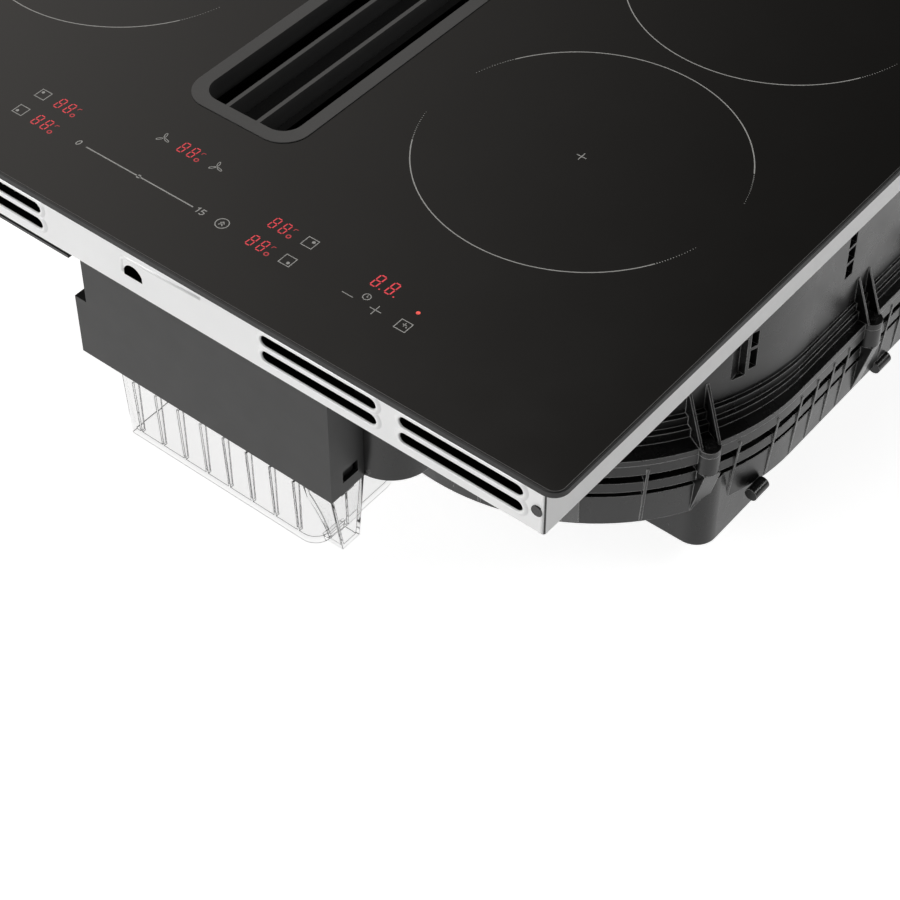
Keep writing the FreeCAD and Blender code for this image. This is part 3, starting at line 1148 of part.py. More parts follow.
def liquid_tank():
    """Clear drafted basin with ribs inside its front and a tapered grip at one end."""
    top = -number(S.plenum_floor) - number(S.tank_seal)
    left, right = -number(S.tank_left), number(S.tank_right)
    front, back = -number(S.tank_front), -number(S.tank_back)
    height, wall, draft = number(S.tank_height), number(S.tank_wall), number(S.tank_draft)
    corners = {1: number(S.tank_corner), -1: number(S.tank_left_corner)}

    def outline(inset, level):
        x0, x1, y0, y1 = left + inset, right - inset, front + inset, back - inset
        radii = {(end, side): max(corners[end] - inset, 1) for end in (1, -1) for side in (1, -1)}
        plate = rounded_prism(x0, x1, y0, y1, radii, level, level + 1)
        return min(plate.Faces, key=lambda face: face.CenterOfMass.z).OuterWire

    basin = Part.makeLoft([outline(draft, top - height), outline(0, top)], True, True)
    floor = top - height + number(S.tank_floor)
    hollow = Part.makeLoft([outline(draft + wall, floor), outline(wall, top)], True, True)
    hollow = hollow.fuse(prism(outline(wall, 0), top, top + 1))

    def taper(x0, x1, y0, y1, level):
        return Part.makePolygon([VECTOR(x0, y0, level), VECTOR(x1, y0, level), VECTOR(x1, y1, level),
                                 VECTOR(x0, y1, level), VECTOR(x0, y0, level)])

    grip_low = top - number(S.grip_height)
    grip_right = number(S.tank_box_right) - 0.8
    inset = number(S.grip_wall)
    grip = Part.makeLoft([taper(112, 125.5, -220, -206, grip_low), taper(112, grip_right, -234.6, -208.6, top)], True, True)
    grip_hollow = Part.makeLoft([
        taper(112 + inset, 125.5 - inset, -220 + inset, -206 - inset, grip_low + inset),
        taper(112 + inset, grip_right - inset, -234.6 + inset, -208.6 - inset, top + 0.1)], True, True)
    tank = basin.fuse(grip).cut(hollow.fuse(grip_hollow.cut(basin)))
    ribs = []
    pitch = number(S.tank_rib_pitch)
    for index in range(8):
        middle = left + 8 + index * pitch
        ribs.append(Part.makeBox(number(S.tank_rib), 5.5, height - 8, VECTOR(middle, front + 1, top - height + 1)))
    inside = Part.makeLoft([outline(draft + 1, top - height + 1), outline(1, top)], True, True)
    for rib in ribs:
        tank = tank.fuse(rib.common(inside))
    return sub_part(coded("liquid_tank", tank.removeSplitter()), "liquid_tank")


def tank_latches():
    """Two spring tongues that rise from the tank into the hood, with outward hooks."""
    low = -S.plenum_floor - S.tank_seal
    high = low + S.latch_height
    places = latch_places()
    tongues = [block(f"latch_{name}_tongue", x, LATCH_Y, (low, high)) for name, x in places.items()]
    left_arm = block("latch_left_arm", (places["left"][0], -S.tank_left), LATCH_Y, (low - 3, low))
    right_arm = block("latch_right_arm", (S.tank_right, places["right"][1] - 0.4), LATCH_Y, (low - 4, low - 2))
    right_post = block("latch_right_post", (places["right"][0], places["right"][1] - 0.4), LATCH_Y, (low - 3, low))
    hooks = [fuse("latch_left", [tongues[0], left_arm]), fuse("latch_right", [tongues[1], right_arm, right_post])]
    return sub_part(group("tank_latches", hooks), "tank_latches")


def tank_seal():
    """Soft ring on the tank's rim, against the plenum floor and the hood."""
    left, right, front, back = -S.tank_left, S.tank_right, -S.tank_front, -S.tank_back
    low, high = -S.plenum_floor - S.tank_seal, -S.plenum_floor

    def plate(inset, low, high):
        radii = {(end, side): max(radius - inset, 1) for end, radius in
                 ((1, number(S.tank_corner)), (-1, number(S.tank_left_corner))) for side in (1, -1)}
        return rounded_prism(left + inset, right - inset, front + inset, back - inset, radii, low, high)

    ring = coded("tank_seal", plate(0, low, high).cut(plate(number(S.tank_wall), low - 1, high + 1)))
    return sub_part(ring, "tank_seal")


def main():
    os.makedirs("parts", exist_ok=True)
    glass_top()
    worktop_seal()
    intake_grille()
    intake_shaft()
    filter_cassette()
    tray_casing()
    hem_screws()
    for place, centre in COIL_PLACES.items():
        coil_set(place, centre)
    coil_supports()
    for name, side in (("left", -1), ("right", 1)):
        power_electronics(name, side)
        cooling_fan(name, side)
    touch_controls()
    mains_connection()
    base_cover()
    plenum_seal()
    plenum_lid()
    blower_upper_shell()
    blower_lower_shell()
    housing_screws()
    outlet_spigot()
    nozzle()
    fan_wheel()
    motor()
    blower_electronics()
    tank_housing()
    liquid_tank()
    tank_latches()
    tank_seal()
    doc.recompute()
    check()
    for obj in sub_parts:
        obj.Shape.exportStep(f"parts/{obj.Label}.step")
    print(len(sub_parts), "pieces written")


def check():
    """Stop before writing if anything failed to build."""
    broken = [obj.Name for obj in doc.Objects if {"Invalid", "Error"} & set(obj.State)]
    broken += [obj.Label for obj in sub_parts if obj.Shape.isNull() or not obj.Shape.isValid()]
    if broken:
        raise RuntimeError("these did not build: " + ", ".join(broken))


main()
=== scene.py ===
"""Looks of the downdraft induction cooktop: materials, printed marks, displays,
pressed edges in the tray, and the studio round it. Lengths are in metres."""
import itertools
import math

import bmesh
import bpy
from mathutils import Matrix, Vector


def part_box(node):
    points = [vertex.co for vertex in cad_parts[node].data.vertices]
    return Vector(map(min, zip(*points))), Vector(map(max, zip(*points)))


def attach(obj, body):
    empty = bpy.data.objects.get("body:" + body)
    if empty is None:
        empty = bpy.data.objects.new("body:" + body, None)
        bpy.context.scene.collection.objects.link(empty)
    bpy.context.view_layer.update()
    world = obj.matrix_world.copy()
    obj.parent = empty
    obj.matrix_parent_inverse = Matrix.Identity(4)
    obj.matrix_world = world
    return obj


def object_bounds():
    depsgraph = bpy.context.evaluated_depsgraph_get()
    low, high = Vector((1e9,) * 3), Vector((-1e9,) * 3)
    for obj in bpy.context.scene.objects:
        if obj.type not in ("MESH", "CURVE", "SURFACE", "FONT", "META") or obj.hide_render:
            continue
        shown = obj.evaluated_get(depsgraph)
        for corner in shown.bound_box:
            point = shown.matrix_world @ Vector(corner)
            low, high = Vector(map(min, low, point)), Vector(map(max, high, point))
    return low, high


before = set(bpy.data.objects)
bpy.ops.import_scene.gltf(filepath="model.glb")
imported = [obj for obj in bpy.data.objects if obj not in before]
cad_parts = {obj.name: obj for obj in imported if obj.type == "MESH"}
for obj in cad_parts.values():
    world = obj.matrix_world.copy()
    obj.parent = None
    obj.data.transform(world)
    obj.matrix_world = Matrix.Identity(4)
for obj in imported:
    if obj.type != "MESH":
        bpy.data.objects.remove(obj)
cad_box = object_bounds()
MM = 0.001
PHOTO_SIZE = 900  # pixels, as are the next two
FOCAL_PIXELS = 2371.09
PHOTO_CENTRE = 401.186, 354.284
CAMERA_PLACE = 0.705027, -0.843725, 0.791802
CAMERA_TURN = 40.597, 44.389, -1.291  # azimuth, elevation and roll in degrees
FLOOR_GAP = 0.0145  # clears the tank at the end of its way down
MARK_LIFT = 0.02  # millimetres of print above the glass
GLASS_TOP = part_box("glass_top")[1][2]
TRAY_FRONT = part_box("tray_casing")[0][1]
TRAY_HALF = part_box("tray_casing")[1][0], -TRAY_FRONT


# ---------------------------------------------------------------- camera
def make_camera():
    """The photograph's camera, worked out from straight edges and the zones' circles."""
    azimuth, elevation, roll = (math.radians(v) for v in CAMERA_TURN)
    back = Vector((math.sin(azimuth) * math.cos(elevation),
                   -math.cos(azimuth) * math.cos(elevation), math.sin(elevation)))
    right = (-back).cross(Vector((0, 0, 1))).normalized()
    up = right.cross(-back)
    turned_right = right * math.cos(roll) + up * math.sin(roll)
    turned_up = up * math.cos(roll) - right * math.sin(roll)
    data = bpy.data.cameras.new("camera")
    data.sensor_width = 36
    data.lens = FOCAL_PIXELS * data.sensor_width / PHOTO_SIZE
    data.shift_x = (PHOTO_SIZE / 2 - PHOTO_CENTRE[0]) / PHOTO_SIZE
    data.shift_y = (PHOTO_CENTRE[1] - PHOTO_SIZE / 2) / PHOTO_SIZE
    data.clip_start, data.clip_end = 0.01, 50
    camera = bpy.data.objects.new("camera", data)
    bpy.context.collection.objects.link(camera)
    turn = Matrix((turned_right, turned_up, back)).transposed()
    camera.matrix_world = Matrix.Translation(Vector(CAMERA_PLACE)) @ turn.to_4x4()
    bpy.context.scene.camera = camera


# ---------------------------------------------------------------- materials
def new_material(name, base, roughness, metallic=0.0):
    """A material with its nodes, links and main shader."""
    material = bpy.data.materials.new(name)
    material.use_nodes = True
    nodes = material.node_tree.nodes
    shader = nodes["Principled BSDF"]
    shader.inputs["Base Color"].default_value = (*base, 1)
    shader.inputs["Roughness"].default_value = roughness
    shader.inputs["Metallic"].default_value = metallic
    return material, nodes, material.node_tree.links, shader


def coordinates(nodes):
    """Places on the piece itself, in metres."""
    return nodes.new("ShaderNodeTexCoord").outputs["Object"]


def noise(nodes, links, scale, detail=3.0, stretch=None):
    """A cloudy grey texture, drawn out along an axis if stretched."""
    texture = nodes.new("ShaderNodeTexNoise")
    texture.inputs["Scale"].default_value = scale
    texture.inputs["Detail"].default_value = detail
    source = coordinates(nodes)
    if stretch:
        mapping = nodes.new("ShaderNodeMapping")
        mapping.inputs["Scale"].default_value = stretch
        links.new(source, mapping.inputs["Vector"])
        source = mapping.outputs["Vector"]
    links.new(source, texture.inputs["Vector"])
    return texture.outputs["Fac"]


def ramp(nodes, links, factor, low, high):
    """A colour or grey that varies from low to high with a texture."""
    node = nodes.new("ShaderNodeValToRGB")
    for stop, place, value in zip(node.color_ramp.elements, (0.35, 0.65), (low, high)):
        stop.position = place
        stop.color = (*value, 1) if isinstance(value, tuple) else (value, value, value, 1)
    links.new(factor, node.inputs["Fac"])
    return node.outputs["Color"]


def vary(nodes, links, socket, scale, low, high, detail=3.0, stretch=None):
    """Drives a socket from low to high with a cloudy texture."""
    links.new(ramp(nodes, links, noise(nodes, links, scale, detail, stretch), low, high), socket)


def calculate(nodes, links, operation, first, second, clamp=False):
    """One value worked out from two outputs, or from an output and a number."""
    node = nodes.new("ShaderNodeMath")
    node.operation, node.use_clamp = operation, clamp
    links.new(first, node.inputs[0])
    if isinstance(second, float):
        node.inputs[1].default_value = second
    else:
        links.new(second, node.inputs[1])
    return node.outputs[0]


def map_range(nodes, links, value, source, target):
    """A number carried from one range to another, held within its ends."""
    node = nodes.new("ShaderNodeMapRange")
    for label, number in zip(("From Min", "From Max", "To Min", "To Max"), (*source, *target)):
        node.inputs[label].default_value = number
    links.new(value, node.inputs["Value"])
    return node.outputs["Result"]


def add_bump(nodes, links, shader, height, distance, strength):
    """Fine relief from a texture; gives back the bump node."""
    bump = nodes.new("ShaderNodeBump")
    bump.inputs["Distance"].default_value = distance
    bump.inputs["Strength"].default_value = strength
    links.new(height, bump.inputs["Height"])
    links.new(bump.outputs["Normal"], shader.inputs["Normal"])
    return bump


def shade(value, factor):
    """A colour made lighter or darker."""
    return tuple(min(v * factor, 1) for v in value)


def edge_mask(nodes, links, radius, low, high):
    """The rounded normal, and a mask that is one along sharp edges and nought on flat faces."""
    bevel = nodes.new("ShaderNodeBevel")
    bevel.samples = 6
    bevel.inputs["Radius"].default_value = radius
    geometry = nodes.new("ShaderNodeNewGeometry")
    dot = nodes.new("ShaderNodeVectorMath")
    dot.operation = "DOT_PRODUCT"
    links.new(bevel.outputs["Normal"], dot.inputs[0])
    links.new(geometry.outputs["Normal"], dot.inputs[1])
    mask = map_range(nodes, links, dot.outputs["Value"], (1 - low, 1 - high), (0.0, 1.0))
    return bevel.outputs["Normal"], mask


def blend_colours(nodes, links, factor, first, second):
    """Two colours mixed by a factor; each is a texture's output or a plain colour."""
    mix = nodes.new("ShaderNodeMix")
    mix.data_type = "RGBA"
    links.new(factor, mix.inputs["Factor"])
    for socket, colour in ((mix.inputs[6], first), (mix.inputs[7], second)):
        if isinstance(colour, tuple):
            socket.default_value = (*colour, 1)
        else:
            links.new(colour, socket)
    return mix.outputs[2]


def moulded_plastic(name, base, roughness=0.5, grain=2600, edge=0.0, gloss=0.5):
    """Spark-eroded moulded plastic: fine grain and faint flow marks; with an edge radius, rounded edge normals
    and a painted highlight along sharp edges.
    """
    material, nodes, links, shader = new_material(name, base, roughness)
    shader.inputs["Specular IOR Level"].default_value = gloss
    colour = ramp(nodes, links, noise(nodes, links, 9), shade(base, 0.93), shade(base, 1.07))
    vary(nodes, links, shader.inputs["Roughness"], 60, roughness - 0.025, roughness + 0.025)
    bump = add_bump(nodes, links, shader, noise(nodes, links, grain, 1.0), 0.00002, 0.4)
    if edge:
        rounded, mask = edge_mask(nodes, links, edge, 0.01, 0.08)
        links.new(rounded, bump.inputs["Normal"])
        # Painted highlight: the base colour turns light grey along sharp edges, standing for the glints that
        # rounded edges catch.
        colour = blend_colours(nodes, links, mask, colour, (0.4, 0.4, 0.4))
    links.new(colour, shader.inputs["Base Color"])
    return material


def sheet_grain(nodes, links, shader, low, high):
    """Gloss that runs along the rolling direction, and a fine bump."""
    vary(nodes, links, shader.inputs["Roughness"], 30, low, high, 2, (40, 40, 1))
    add_bump(nodes, links, shader, noise(nodes, links, 900, 2), 0.00002, 0.35)


def sheet_metal(name, base, roughness, metallic, gloss=0.5):
    """Rolled sheet: faint grain along the rolling direction and soft blotches."""
    material, nodes, links, shader = new_material(name, base, roughness, metallic)
    shader.inputs["Specular IOR Level"].default_value = gloss
    vary(nodes, links, shader.inputs["Base Color"], 14, shade(base, 0.97), shade(base, 1.02))
    sheet_grain(nodes, links, shader, roughness - 0.05, roughness + 0.05)
    return material


def tray_steel():
    """Zinc-coated sheet outside; inside the tray the colour is near black, painted shade that keeps the slots
    dark.
    """
    material, nodes, links, shader = new_material("tray_steel", (0.8, 0.805, 0.81), 0.4, 0.15)
    size = nodes.new("ShaderNodeVectorMath")
    size.operation = "ABSOLUTE"
    links.new(coordinates(nodes), size.inputs[0])
    scaled = nodes.new("ShaderNodeVectorMath")
    scaled.operation = "MULTIPLY"
    skin, floor_depth = 0.00005, 0.049
    scaled.inputs[1].default_value = (1 / (TRAY_HALF[0] - skin), 1 / (TRAY_HALF[1] - skin), 1 / floor_depth)
    links.new(size.outputs["Vector"], scaled.inputs[0])
    split = nodes.new("ShaderNodeSeparateXYZ")
    links.new(scaled.outputs["Vector"], split.inputs["Vector"])
    widest = calculate(nodes, links, "MAXIMUM", split.outputs["X"], split.outputs["Y"])
    either = calculate(nodes, links, "MAXIMUM", widest, split.outputs["Z"])
    outside = calculate(nodes, links, "GREATER_THAN", either, 1.0)
    # Painted shade: the base colour inside the sheet is near black, so the slots look dark.
    inside_shade = ramp(nodes, links, noise(nodes, links, 20), 0.003, 0.006)
    zinc = ramp(nodes, links, noise(nodes, links, 14), (0.78, 0.785, 0.79), (0.82, 0.825, 0.83))
    links.new(blend_colours(nodes, links, outside, inside_shade, zinc), shader.inputs["Base Color"])
    sheet_grain(nodes, links, shader, 0.36, 0.46)
    return material


def black_glass():
    """Ceramic glass: deep black and glossy, with a ground and bevelled rim."""
    material, nodes, links, shader = new_material("black_glass", (0.006, 0.006, 0.006), 0.16)
    shader.inputs["IOR"].default_value = 1.5
    geometry = nodes.new("ShaderNodeNewGeometry")
    split = nodes.new("ShaderNodeSeparateXYZ")
    links.new(geometry.outputs["True Normal"], split.inputs["Vector"])
    # Base colour by facing direction, painted light and shade on one glass: the sides 0.006, the sloped bevel
    # darkest at 0.0015 as painted shade that draws a black line along the rim, and the top 0.0032 with a
    # slight warm tint.
    tone = nodes.new("ShaderNodeValToRGB")
    tone.color_ramp.interpolation = "CONSTANT"
    stops = tone.color_ramp.elements
    stops[0].position, stops[0].color = 0.0, (0.006, 0.006, 0.006, 1)
    stops[1].position, stops[1].color = 0.4, (0.0015, 0.0015, 0.0015, 1)
    top = stops.new(0.95)
    top.color = (0.0032, 0.003, 0.0027, 1)
    links.new(split.outputs["Z"], tone.inputs["Fac"])
    links.new(tone.outputs["Color"], shader.inputs["Base Color"])
    ground = map_range(nodes, links, split.outputs["Z"], (0.9, 0.98), (0.5, 0.0))
    polish = ramp(nodes, links, noise(nodes, links, 22, 4), 0.1, 0.15)
    links.new(calculate(nodes, links, "ADD", ground, polish), shader.inputs["Roughness"])
    return material


def clear_plastic():
    """Clear moulding with thin dark lines painted along its sharp edges and ribs as shade."""
    material, nodes, links, shader = new_material("clear_plastic", (0.98, 0.98, 0.98), 0.03)
    shader.inputs["Transmission Weight"].default_value = 1.0
    shader.inputs["IOR"].default_value = 1.12
    body = nodes.new("ShaderNodeVolumeAbsorption")
    body.inputs["Color"].default_value = (0.6, 0.6, 0.6, 1)
    body.inputs["Density"].default_value = 40
    links.new(body.outputs["Volume"], nodes["Material Output"].inputs["Volume"])
    _, mask = edge_mask(nodes, links, 0.0009, 0.004, 0.03)
    tint = ramp(nodes, links, noise(nodes, links, 25), (0.975, 0.975, 0.975), (0.985, 0.985, 0.985))
    # Painted shade: the base colour turns near black along sharp edges and ribs.
    links.new(blend_colours(nodes, links, mask, tint, (0.004, 0.004, 0.004)), shader.inputs["Base Color"])
    vary(nodes, links, shader.inputs["Roughness"], 40, 0.01, 0.04)
    return material


def wound_wire():
    """Stranded copper wire: an uneven tone and a strand-like bump."""
    base = (0.62, 0.26, 0.12)
    material, nodes, links, shader = new_material("copper_litz", base, 0.42, 0.7)
    vary(nodes, links, shader.inputs["Base Color"], 700, shade(base, 0.7), shade(base, 1.15))
    vary(nodes, links, shader.inputs["Roughness"], 400, 0.32, 0.52)
    add_bump(nodes, links, shader, noise(nodes, links, 1400, 1), 0.0002, 0.6)
    return material


def circuit_board():
    """Green board with a pattern of tracks."""
    base = (0.015, 0.11, 0.045)
    material, nodes, links, shader = new_material("circuit_board", base, 0.35)
    brick = nodes.new("ShaderNodeTexBrick")
    brick.inputs["Scale"].default_value = 90
    brick.inputs["Color1"].default_value = (*shade(base, 0.8), 1)
    brick.inputs["Color2"].default_value = (*shade(base, 1.3), 1)
    brick.inputs["Mortar"].default_value = (0.05, 0.25, 0.12, 1)
    links.new(coordinates(nodes), brick.inputs["Vector"])
    links.new(brick.outputs["Color"], shader.inputs["Base Color"])
    vary(nodes, links, shader.inputs["Roughness"], 50, 0.28, 0.42)
    return material


def printed_ink(name, base):
    """A baked print: a little uneven in tone and gloss."""
    material, nodes, links, shader = new_material(name, base, 0.5)
    vary(nodes, links, shader.inputs["Base Color"], 900, shade(base, 0.85), shade(base, 1.1))
    vary(nodes, links, shader.inputs["Roughness"], 300, 0.42, 0.58)
    return material


def lit_red(name, strength, colour=(0.72, 0.045, 0.065)):
    """A lit segment behind the glass, a little uneven along its length."""
    material, nodes, links, shader = new_material(name, (0.1, 0.005, 0.005), 0.4)
    shader.inputs["Emission Strength"].default_value = strength
    vary(nodes, links, shader.inputs["Emission Color"], 500, shade(colour, 0.75), shade(colour, 1.1))
    vary(nodes, links, shader.inputs["Roughness"], 300, 0.35, 0.45)
    return material


MATERIALS = {
    "glass": black_glass(),
    "seal": moulded_plastic("soft_rubber", (0.012, 0.012, 0.012), 0.7),
    "grille": moulded_plastic("grille_coating", (0.05, 0.05, 0.05), 0.5, 1800),
    "filter": sheet_metal("filter_black", (0.0025, 0.0025, 0.0025), 0.7, 0.0, gloss=0.12),
    "dark": moulded_plastic("dark_plastic", (0.003, 0.003, 0.003), 0.7, gloss=0.15),
    "plastic": moulded_plastic("black_plastic", (0.008, 0.008, 0.008), 0.28, edge=0.0007, gloss=0.43),
    "hood": moulded_plastic("hood_plastic", (0.022, 0.022, 0.022), 0.38, gloss=0.26),
    "cover": moulded_plastic("cover_plastic", (0.006, 0.006, 0.006), 0.4),
    "tray": tray_steel(),
    "zinc": sheet_metal("zinc_steel", (0.8, 0.805, 0.81), 0.4, 0.15),
    # Black aluminium for heat sinks and coil plates, kept this dark partly as painted shade so the tray's
    # inside shows black through the slots.
    "sink": sheet_metal("black_aluminium", (0.012, 0.012, 0.012), 0.45, 0.2),
    "steel": sheet_metal("screw_steel", (0.5, 0.5, 0.5), 0.3, 0.9),
    # Near-black screw steel: on the hem screws the dark is painted shade, so each reads as a shaded hole with
    # a glint.
    "dark_steel": sheet_metal("dark_screw_steel", (0.01, 0.01, 0.01), 0.25, 0.2),
    "board": circuit_board(),
    "component": moulded_plastic("component_grey", (0.05, 0.05, 0.055), 0.4),
    "display": moulded_plastic("display_window", (0.03, 0.004, 0.004), 0.3),
    "mica": moulded_plastic("mica_sheet", (0.5, 0.44, 0.33), 0.6, 900),
    "clear": clear_plastic(),
    "motor": sheet_metal("motor_copper", (0.5, 0.25, 0.12), 0.4, 0.7),
    "copper": wound_wire(),
    "carrier": moulded_plastic("carrier_plastic", (0.3, 0.3, 0.28), 0.5),
    "ferrite": moulded_plastic("ferrite", (0.03, 0.03, 0.03), 0.7, 1200),
    "ink": printed_ink("printed_ink", (0.36, 0.36, 0.35)),
    # Painted highlight: a thin grey line along the glass top's edge.
    "edge_highlight": printed_ink("painted_edge_highlight", (0.06, 0.06, 0.06)),
    "red": lit_red("lit_segment", 1.0),
    "red_dim": lit_red("lit_symbol", 0.55),
    "red_dot": lit_red("lit_dot", 1.1, (0.8, 0.09, 0.07)),
}

NODE_MATERIALS = {
    "glass_top": "glass", "worktop_seal": "seal", "plenum_seal": "seal", "tank_seal": "seal",
    "intake_grille": "grille", "intake_shaft": "dark", "filter_frame": "filter",
    "filter_baffles": "filter", "tray_casing": "tray", "hem_screws": "dark_steel",
    "housing_screws": "dark_steel", "temperature_sensors": "steel",
    "touch_board": "board", "light_frame": "dark", "display_modules": "display", "touch_brackets": "dark",
    "terminal_block": "carrier", "terminal_cover": "plastic", "cable_gland": "plastic", "base_cover": "cover",
    "plenum_lid": "plastic", "blower_upper_shell": "plastic", "blower_lower_shell": "plastic",
    "outlet_spigot": "plastic", "inlet_nozzle": "plastic", "fan_wheel": "plastic", "motor_rotor": "zinc",
    "motor_stator": "motor", "driver_box": "plastic", "driver_board": "board", "tank_housing": "hood",
    "liquid_tank": "clear", "tank_latches": "hood",
}
PREFIX_MATERIALS = (
    ("coil_winding", "copper"), ("coil_carrier", "carrier"), ("coil_plate", "sink"),
    ("ferrite", "ferrite"), ("mica", "mica"), ("power_board", "board"), ("heat_sink", "sink"),
    ("board_parts", "component"), ("cooling_fan", "plastic"),
)


def dress_nodes():
    """Each node's material, by its name or by the start of it."""
    for name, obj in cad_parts.items():
        key = NODE_MATERIALS.get(name)
        if key is None:
            key = next(value for prefix, value in PREFIX_MATERIALS if name.startswith(prefix))
        if not obj.material_slots:
            obj.data.materials.append(MATERIALS[key])
        for place in obj.material_slots:
            place.material = MATERIALS[key]


# ---------------------------------------------------------------- flat marks on the glass
def on_circle(x, y, radius, angle):
    """The point of a circle at an angle in degrees."""
    return x + radius * math.cos(math.radians(angle)), y + radius * math.sin(math.radians(angle))


class Marks:
    """Collects flat shapes in millimetres and turns them into one thin piece."""

    def __init__(self, name, material, slot):
        self.name, self.material, self.slot = name, material, slot
        self.mesh = bmesh.new()

    def polygon(self, points):
        """One flat face."""
        self.mesh.faces.new([self.mesh.verts.new((x * MM, y * MM, 0)) for x, y in points])

    def stroke(self, points, width, closed=False):
        """A line of even width along points, mitred at its corners."""
        count = len(points)
        sides = []
        for index, point in enumerate(points):
            here = Vector(point)
            before = Vector(points[index - 1]) if closed or index else None
            after = Vector(points[(index + 1) % count]) if closed or index < count - 1 else None
            along_in = (here - before).normalized() if before is not None else (after - here).normalized()
            along_out = (after - here).normalized() if after is not None else along_in
            mid = (along_in + along_out).normalized()
            across = Vector((-mid.y, mid.x))
            reach = width / 2 / max(across.dot(Vector((-along_in.y, along_in.x))), 0.4)
            sides.append((here + across * reach, here - across * reach))
        verts = [[self.mesh.verts.new((p.x * MM, p.y * MM, 0)) for p in pair] for pair in sides]
        for index in range(count if closed else count - 1):
            (a, b), (c, d) = verts[index], verts[(index + 1) % count]
            self.mesh.faces.new((b, d, c, a))

    def arc(self, x, y, radius, start, end, width, steps):
        """A line along part of a circle, from one angle in degrees to another."""
        span = end - start
        self.stroke([on_circle(x, y, radius, start + span * step / steps) for step in range(steps + 1)], width)

    def ring(self, x, y, radius, width, steps=48):
        """A whole circle, drawn as a line."""
        self.stroke([on_circle(x, y, radius, 360 * i / steps) for i in range(steps)], width, closed=True)

    def box(self, x, y, half, width):
        """The outline of a square."""
        self.stroke([(x - half, y - half), (x + half, y - half), (x + half, y + half), (x - half, y + half)],
                    width, closed=True)

    def disc(self, x, y, radius, steps=20):
        """A filled circle."""
        self.polygon([on_circle(x, y, radius, 360 * i / steps) for i in range(steps)])

    def finish(self):
        """Makes the piece, just above the glass and fixed to it."""
        data = bpy.data.meshes.new(self.name)
        self.mesh.normal_update()
        for face in self.mesh.faces:
            if face.normal.z < 0:
                face.normal_flip()
        self.mesh.to_mesh(data)
        self.mesh.free()
        data.materials.append(MATERIALS[self.material])
        obj = bpy.data.objects.new(self.name, data)
        bpy.context.collection.objects.link(obj)
        obj.location.z = GLASS_TOP + MARK_LIFT * MM
        bpy.context.view_layer.update()
        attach(obj, "base")


def zone_rings():
    """Each zone's circle, open at both sides, its ends fading out in dots."""
    marks = Marks("zone_rings", "ink", "black_glass")
    radius, width, opening, dots = 89, 0.62, 29.5, 15
    cross, gap, cross_width = 3, 0.3, 0.55
    for y, x in itertools.product((-62, 128), (-161.1, 161.1)):
        for start in (opening, 180 + opening):
            marks.arc(x, y, radius, start, start + 180 - 2 * opening, width, 96)
        for side, flip, index in itertools.product((0, 180), (-1, 1), range(dots)):
            share = (index + 1) / dots
            angle = side + flip * (opening - 15.5 * share ** 1.1)
            marks.disc(*on_circle(x, y, radius, angle), 0.34 - 0.12 * share, 8)
        marks.stroke([(x - cross, y), (x + cross, y)], cross_width)
        marks.stroke([(x, y - cross), (x, y - gap)], cross_width)
        marks.stroke([(x, y + gap), (x, y + cross)], cross_width)
    marks.finish()


def glass_edge_highlight():
    """A thin grey line painted round the glass top, just inside its ground rim, as a highlight along the edge.
    """
    marks = Marks("glass_edge_highlight", "edge_highlight", "black_glass")
    low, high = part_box("glass_top")
    inset, corner = 1.3, 6
    right, front, back = high[0] / MM - inset, low[1] / MM + inset, high[1] / MM - inset
    path = []
    for x, y, start in ((right - corner, back - corner, 0), (corner - right, back - corner, 90),
                        (corner - right, front + corner, 180), (right - corner, front + corner, 270)):
        path += [on_circle(x, y, corner, start + 11.25 * step) for step in range(9)]
    marks.stroke(path, 0.4, closed=True)
    marks.finish()


def control_marks():
    """The printed signs of the touch controls, group by group."""
    marks = Marks("control_marks", "ink", "black_glass")
    thin, figure = 0.5, 0.6
    # one box for each zone, with a dot in the zone's corner
    half, offset = 3.4, 1.35
    for x, y, dot_x, dot_y in ((-95.2, -200.1, -1, 1), (-95, -216.8, -1, -1), (95.5, -200.4, 1, 1),
                               (95.5, -217.2, 1, -1)):
        marks.box(x, y, half, thin)
        marks.disc(x + dot_x * offset, y + dot_y * offset, 0.95)
    # the box with a cross and a dot at the far right
    x, y = 170, -217.4
    marks.box(x, y, half, thin)
    marks.stroke([(x - 1.1, y + 0.9), (x + 1.5, y + 0.9)], thin)
    marks.stroke([(x + 0.2, y - 0.4), (x + 0.2, y + 2.2)], thin)
    marks.disc(x + 1.9, y - 0.2, 0.42)
    # the power slide with its middle, from 0 to 15
    marks.stroke([(-45.8, -217), (31, -217)], 0.75)
    marks.disc(-7.5, -217, 1.5, 6)
    zero = [(-51.3 + 1.05 * math.cos(a) + 0.25 * math.sin(a), -216.8 + 1.8 * math.sin(a))
            for a in (2 * math.pi * i / 24 for i in range(24))]
    marks.stroke(zero, 0.62, closed=True)
    marks.stroke([(33.5, -216), (34.8, -215.1), (34.5, -219)], figure)
    marks.stroke([(38.9, -215.2), (36.9, -215.2), (36.7, -216.9), (37.9, -216.7), (38.8, -217.2),
                  (38.8, -218.2), (37.9, -219), (36.4, -218.8)], figure)
    # a double chevron in a circle
    marks.ring(51.2, -217.1, 3.65, 0.55)
    for lift in (-1.1, 0.5):
        marks.stroke([(49.9, -217.6 + lift), (51.2, -216.3 + lift), (52.5, -217.6 + lift)], 0.55)
    # minus, plus and the timer's clock
    marks.stroke([(131.1, -217.4), (138.1, -217.4)], thin)
    marks.stroke([(148.9, -217.4), (156, -217.4)], thin)
    marks.stroke([(152.4, -221), (152.4, -213.9)], thin)
    marks.ring(143.2, -212.8, 2.1, thin)
    marks.stroke([(143.2, -211.6), (143.2, -212.9), (144, -212.9)], 0.4)
    # a fan on either side of the middle display
    for x in (-18.9, 18.9):
        fan_symbol(marks, x, -186.3)
    marks.finish()


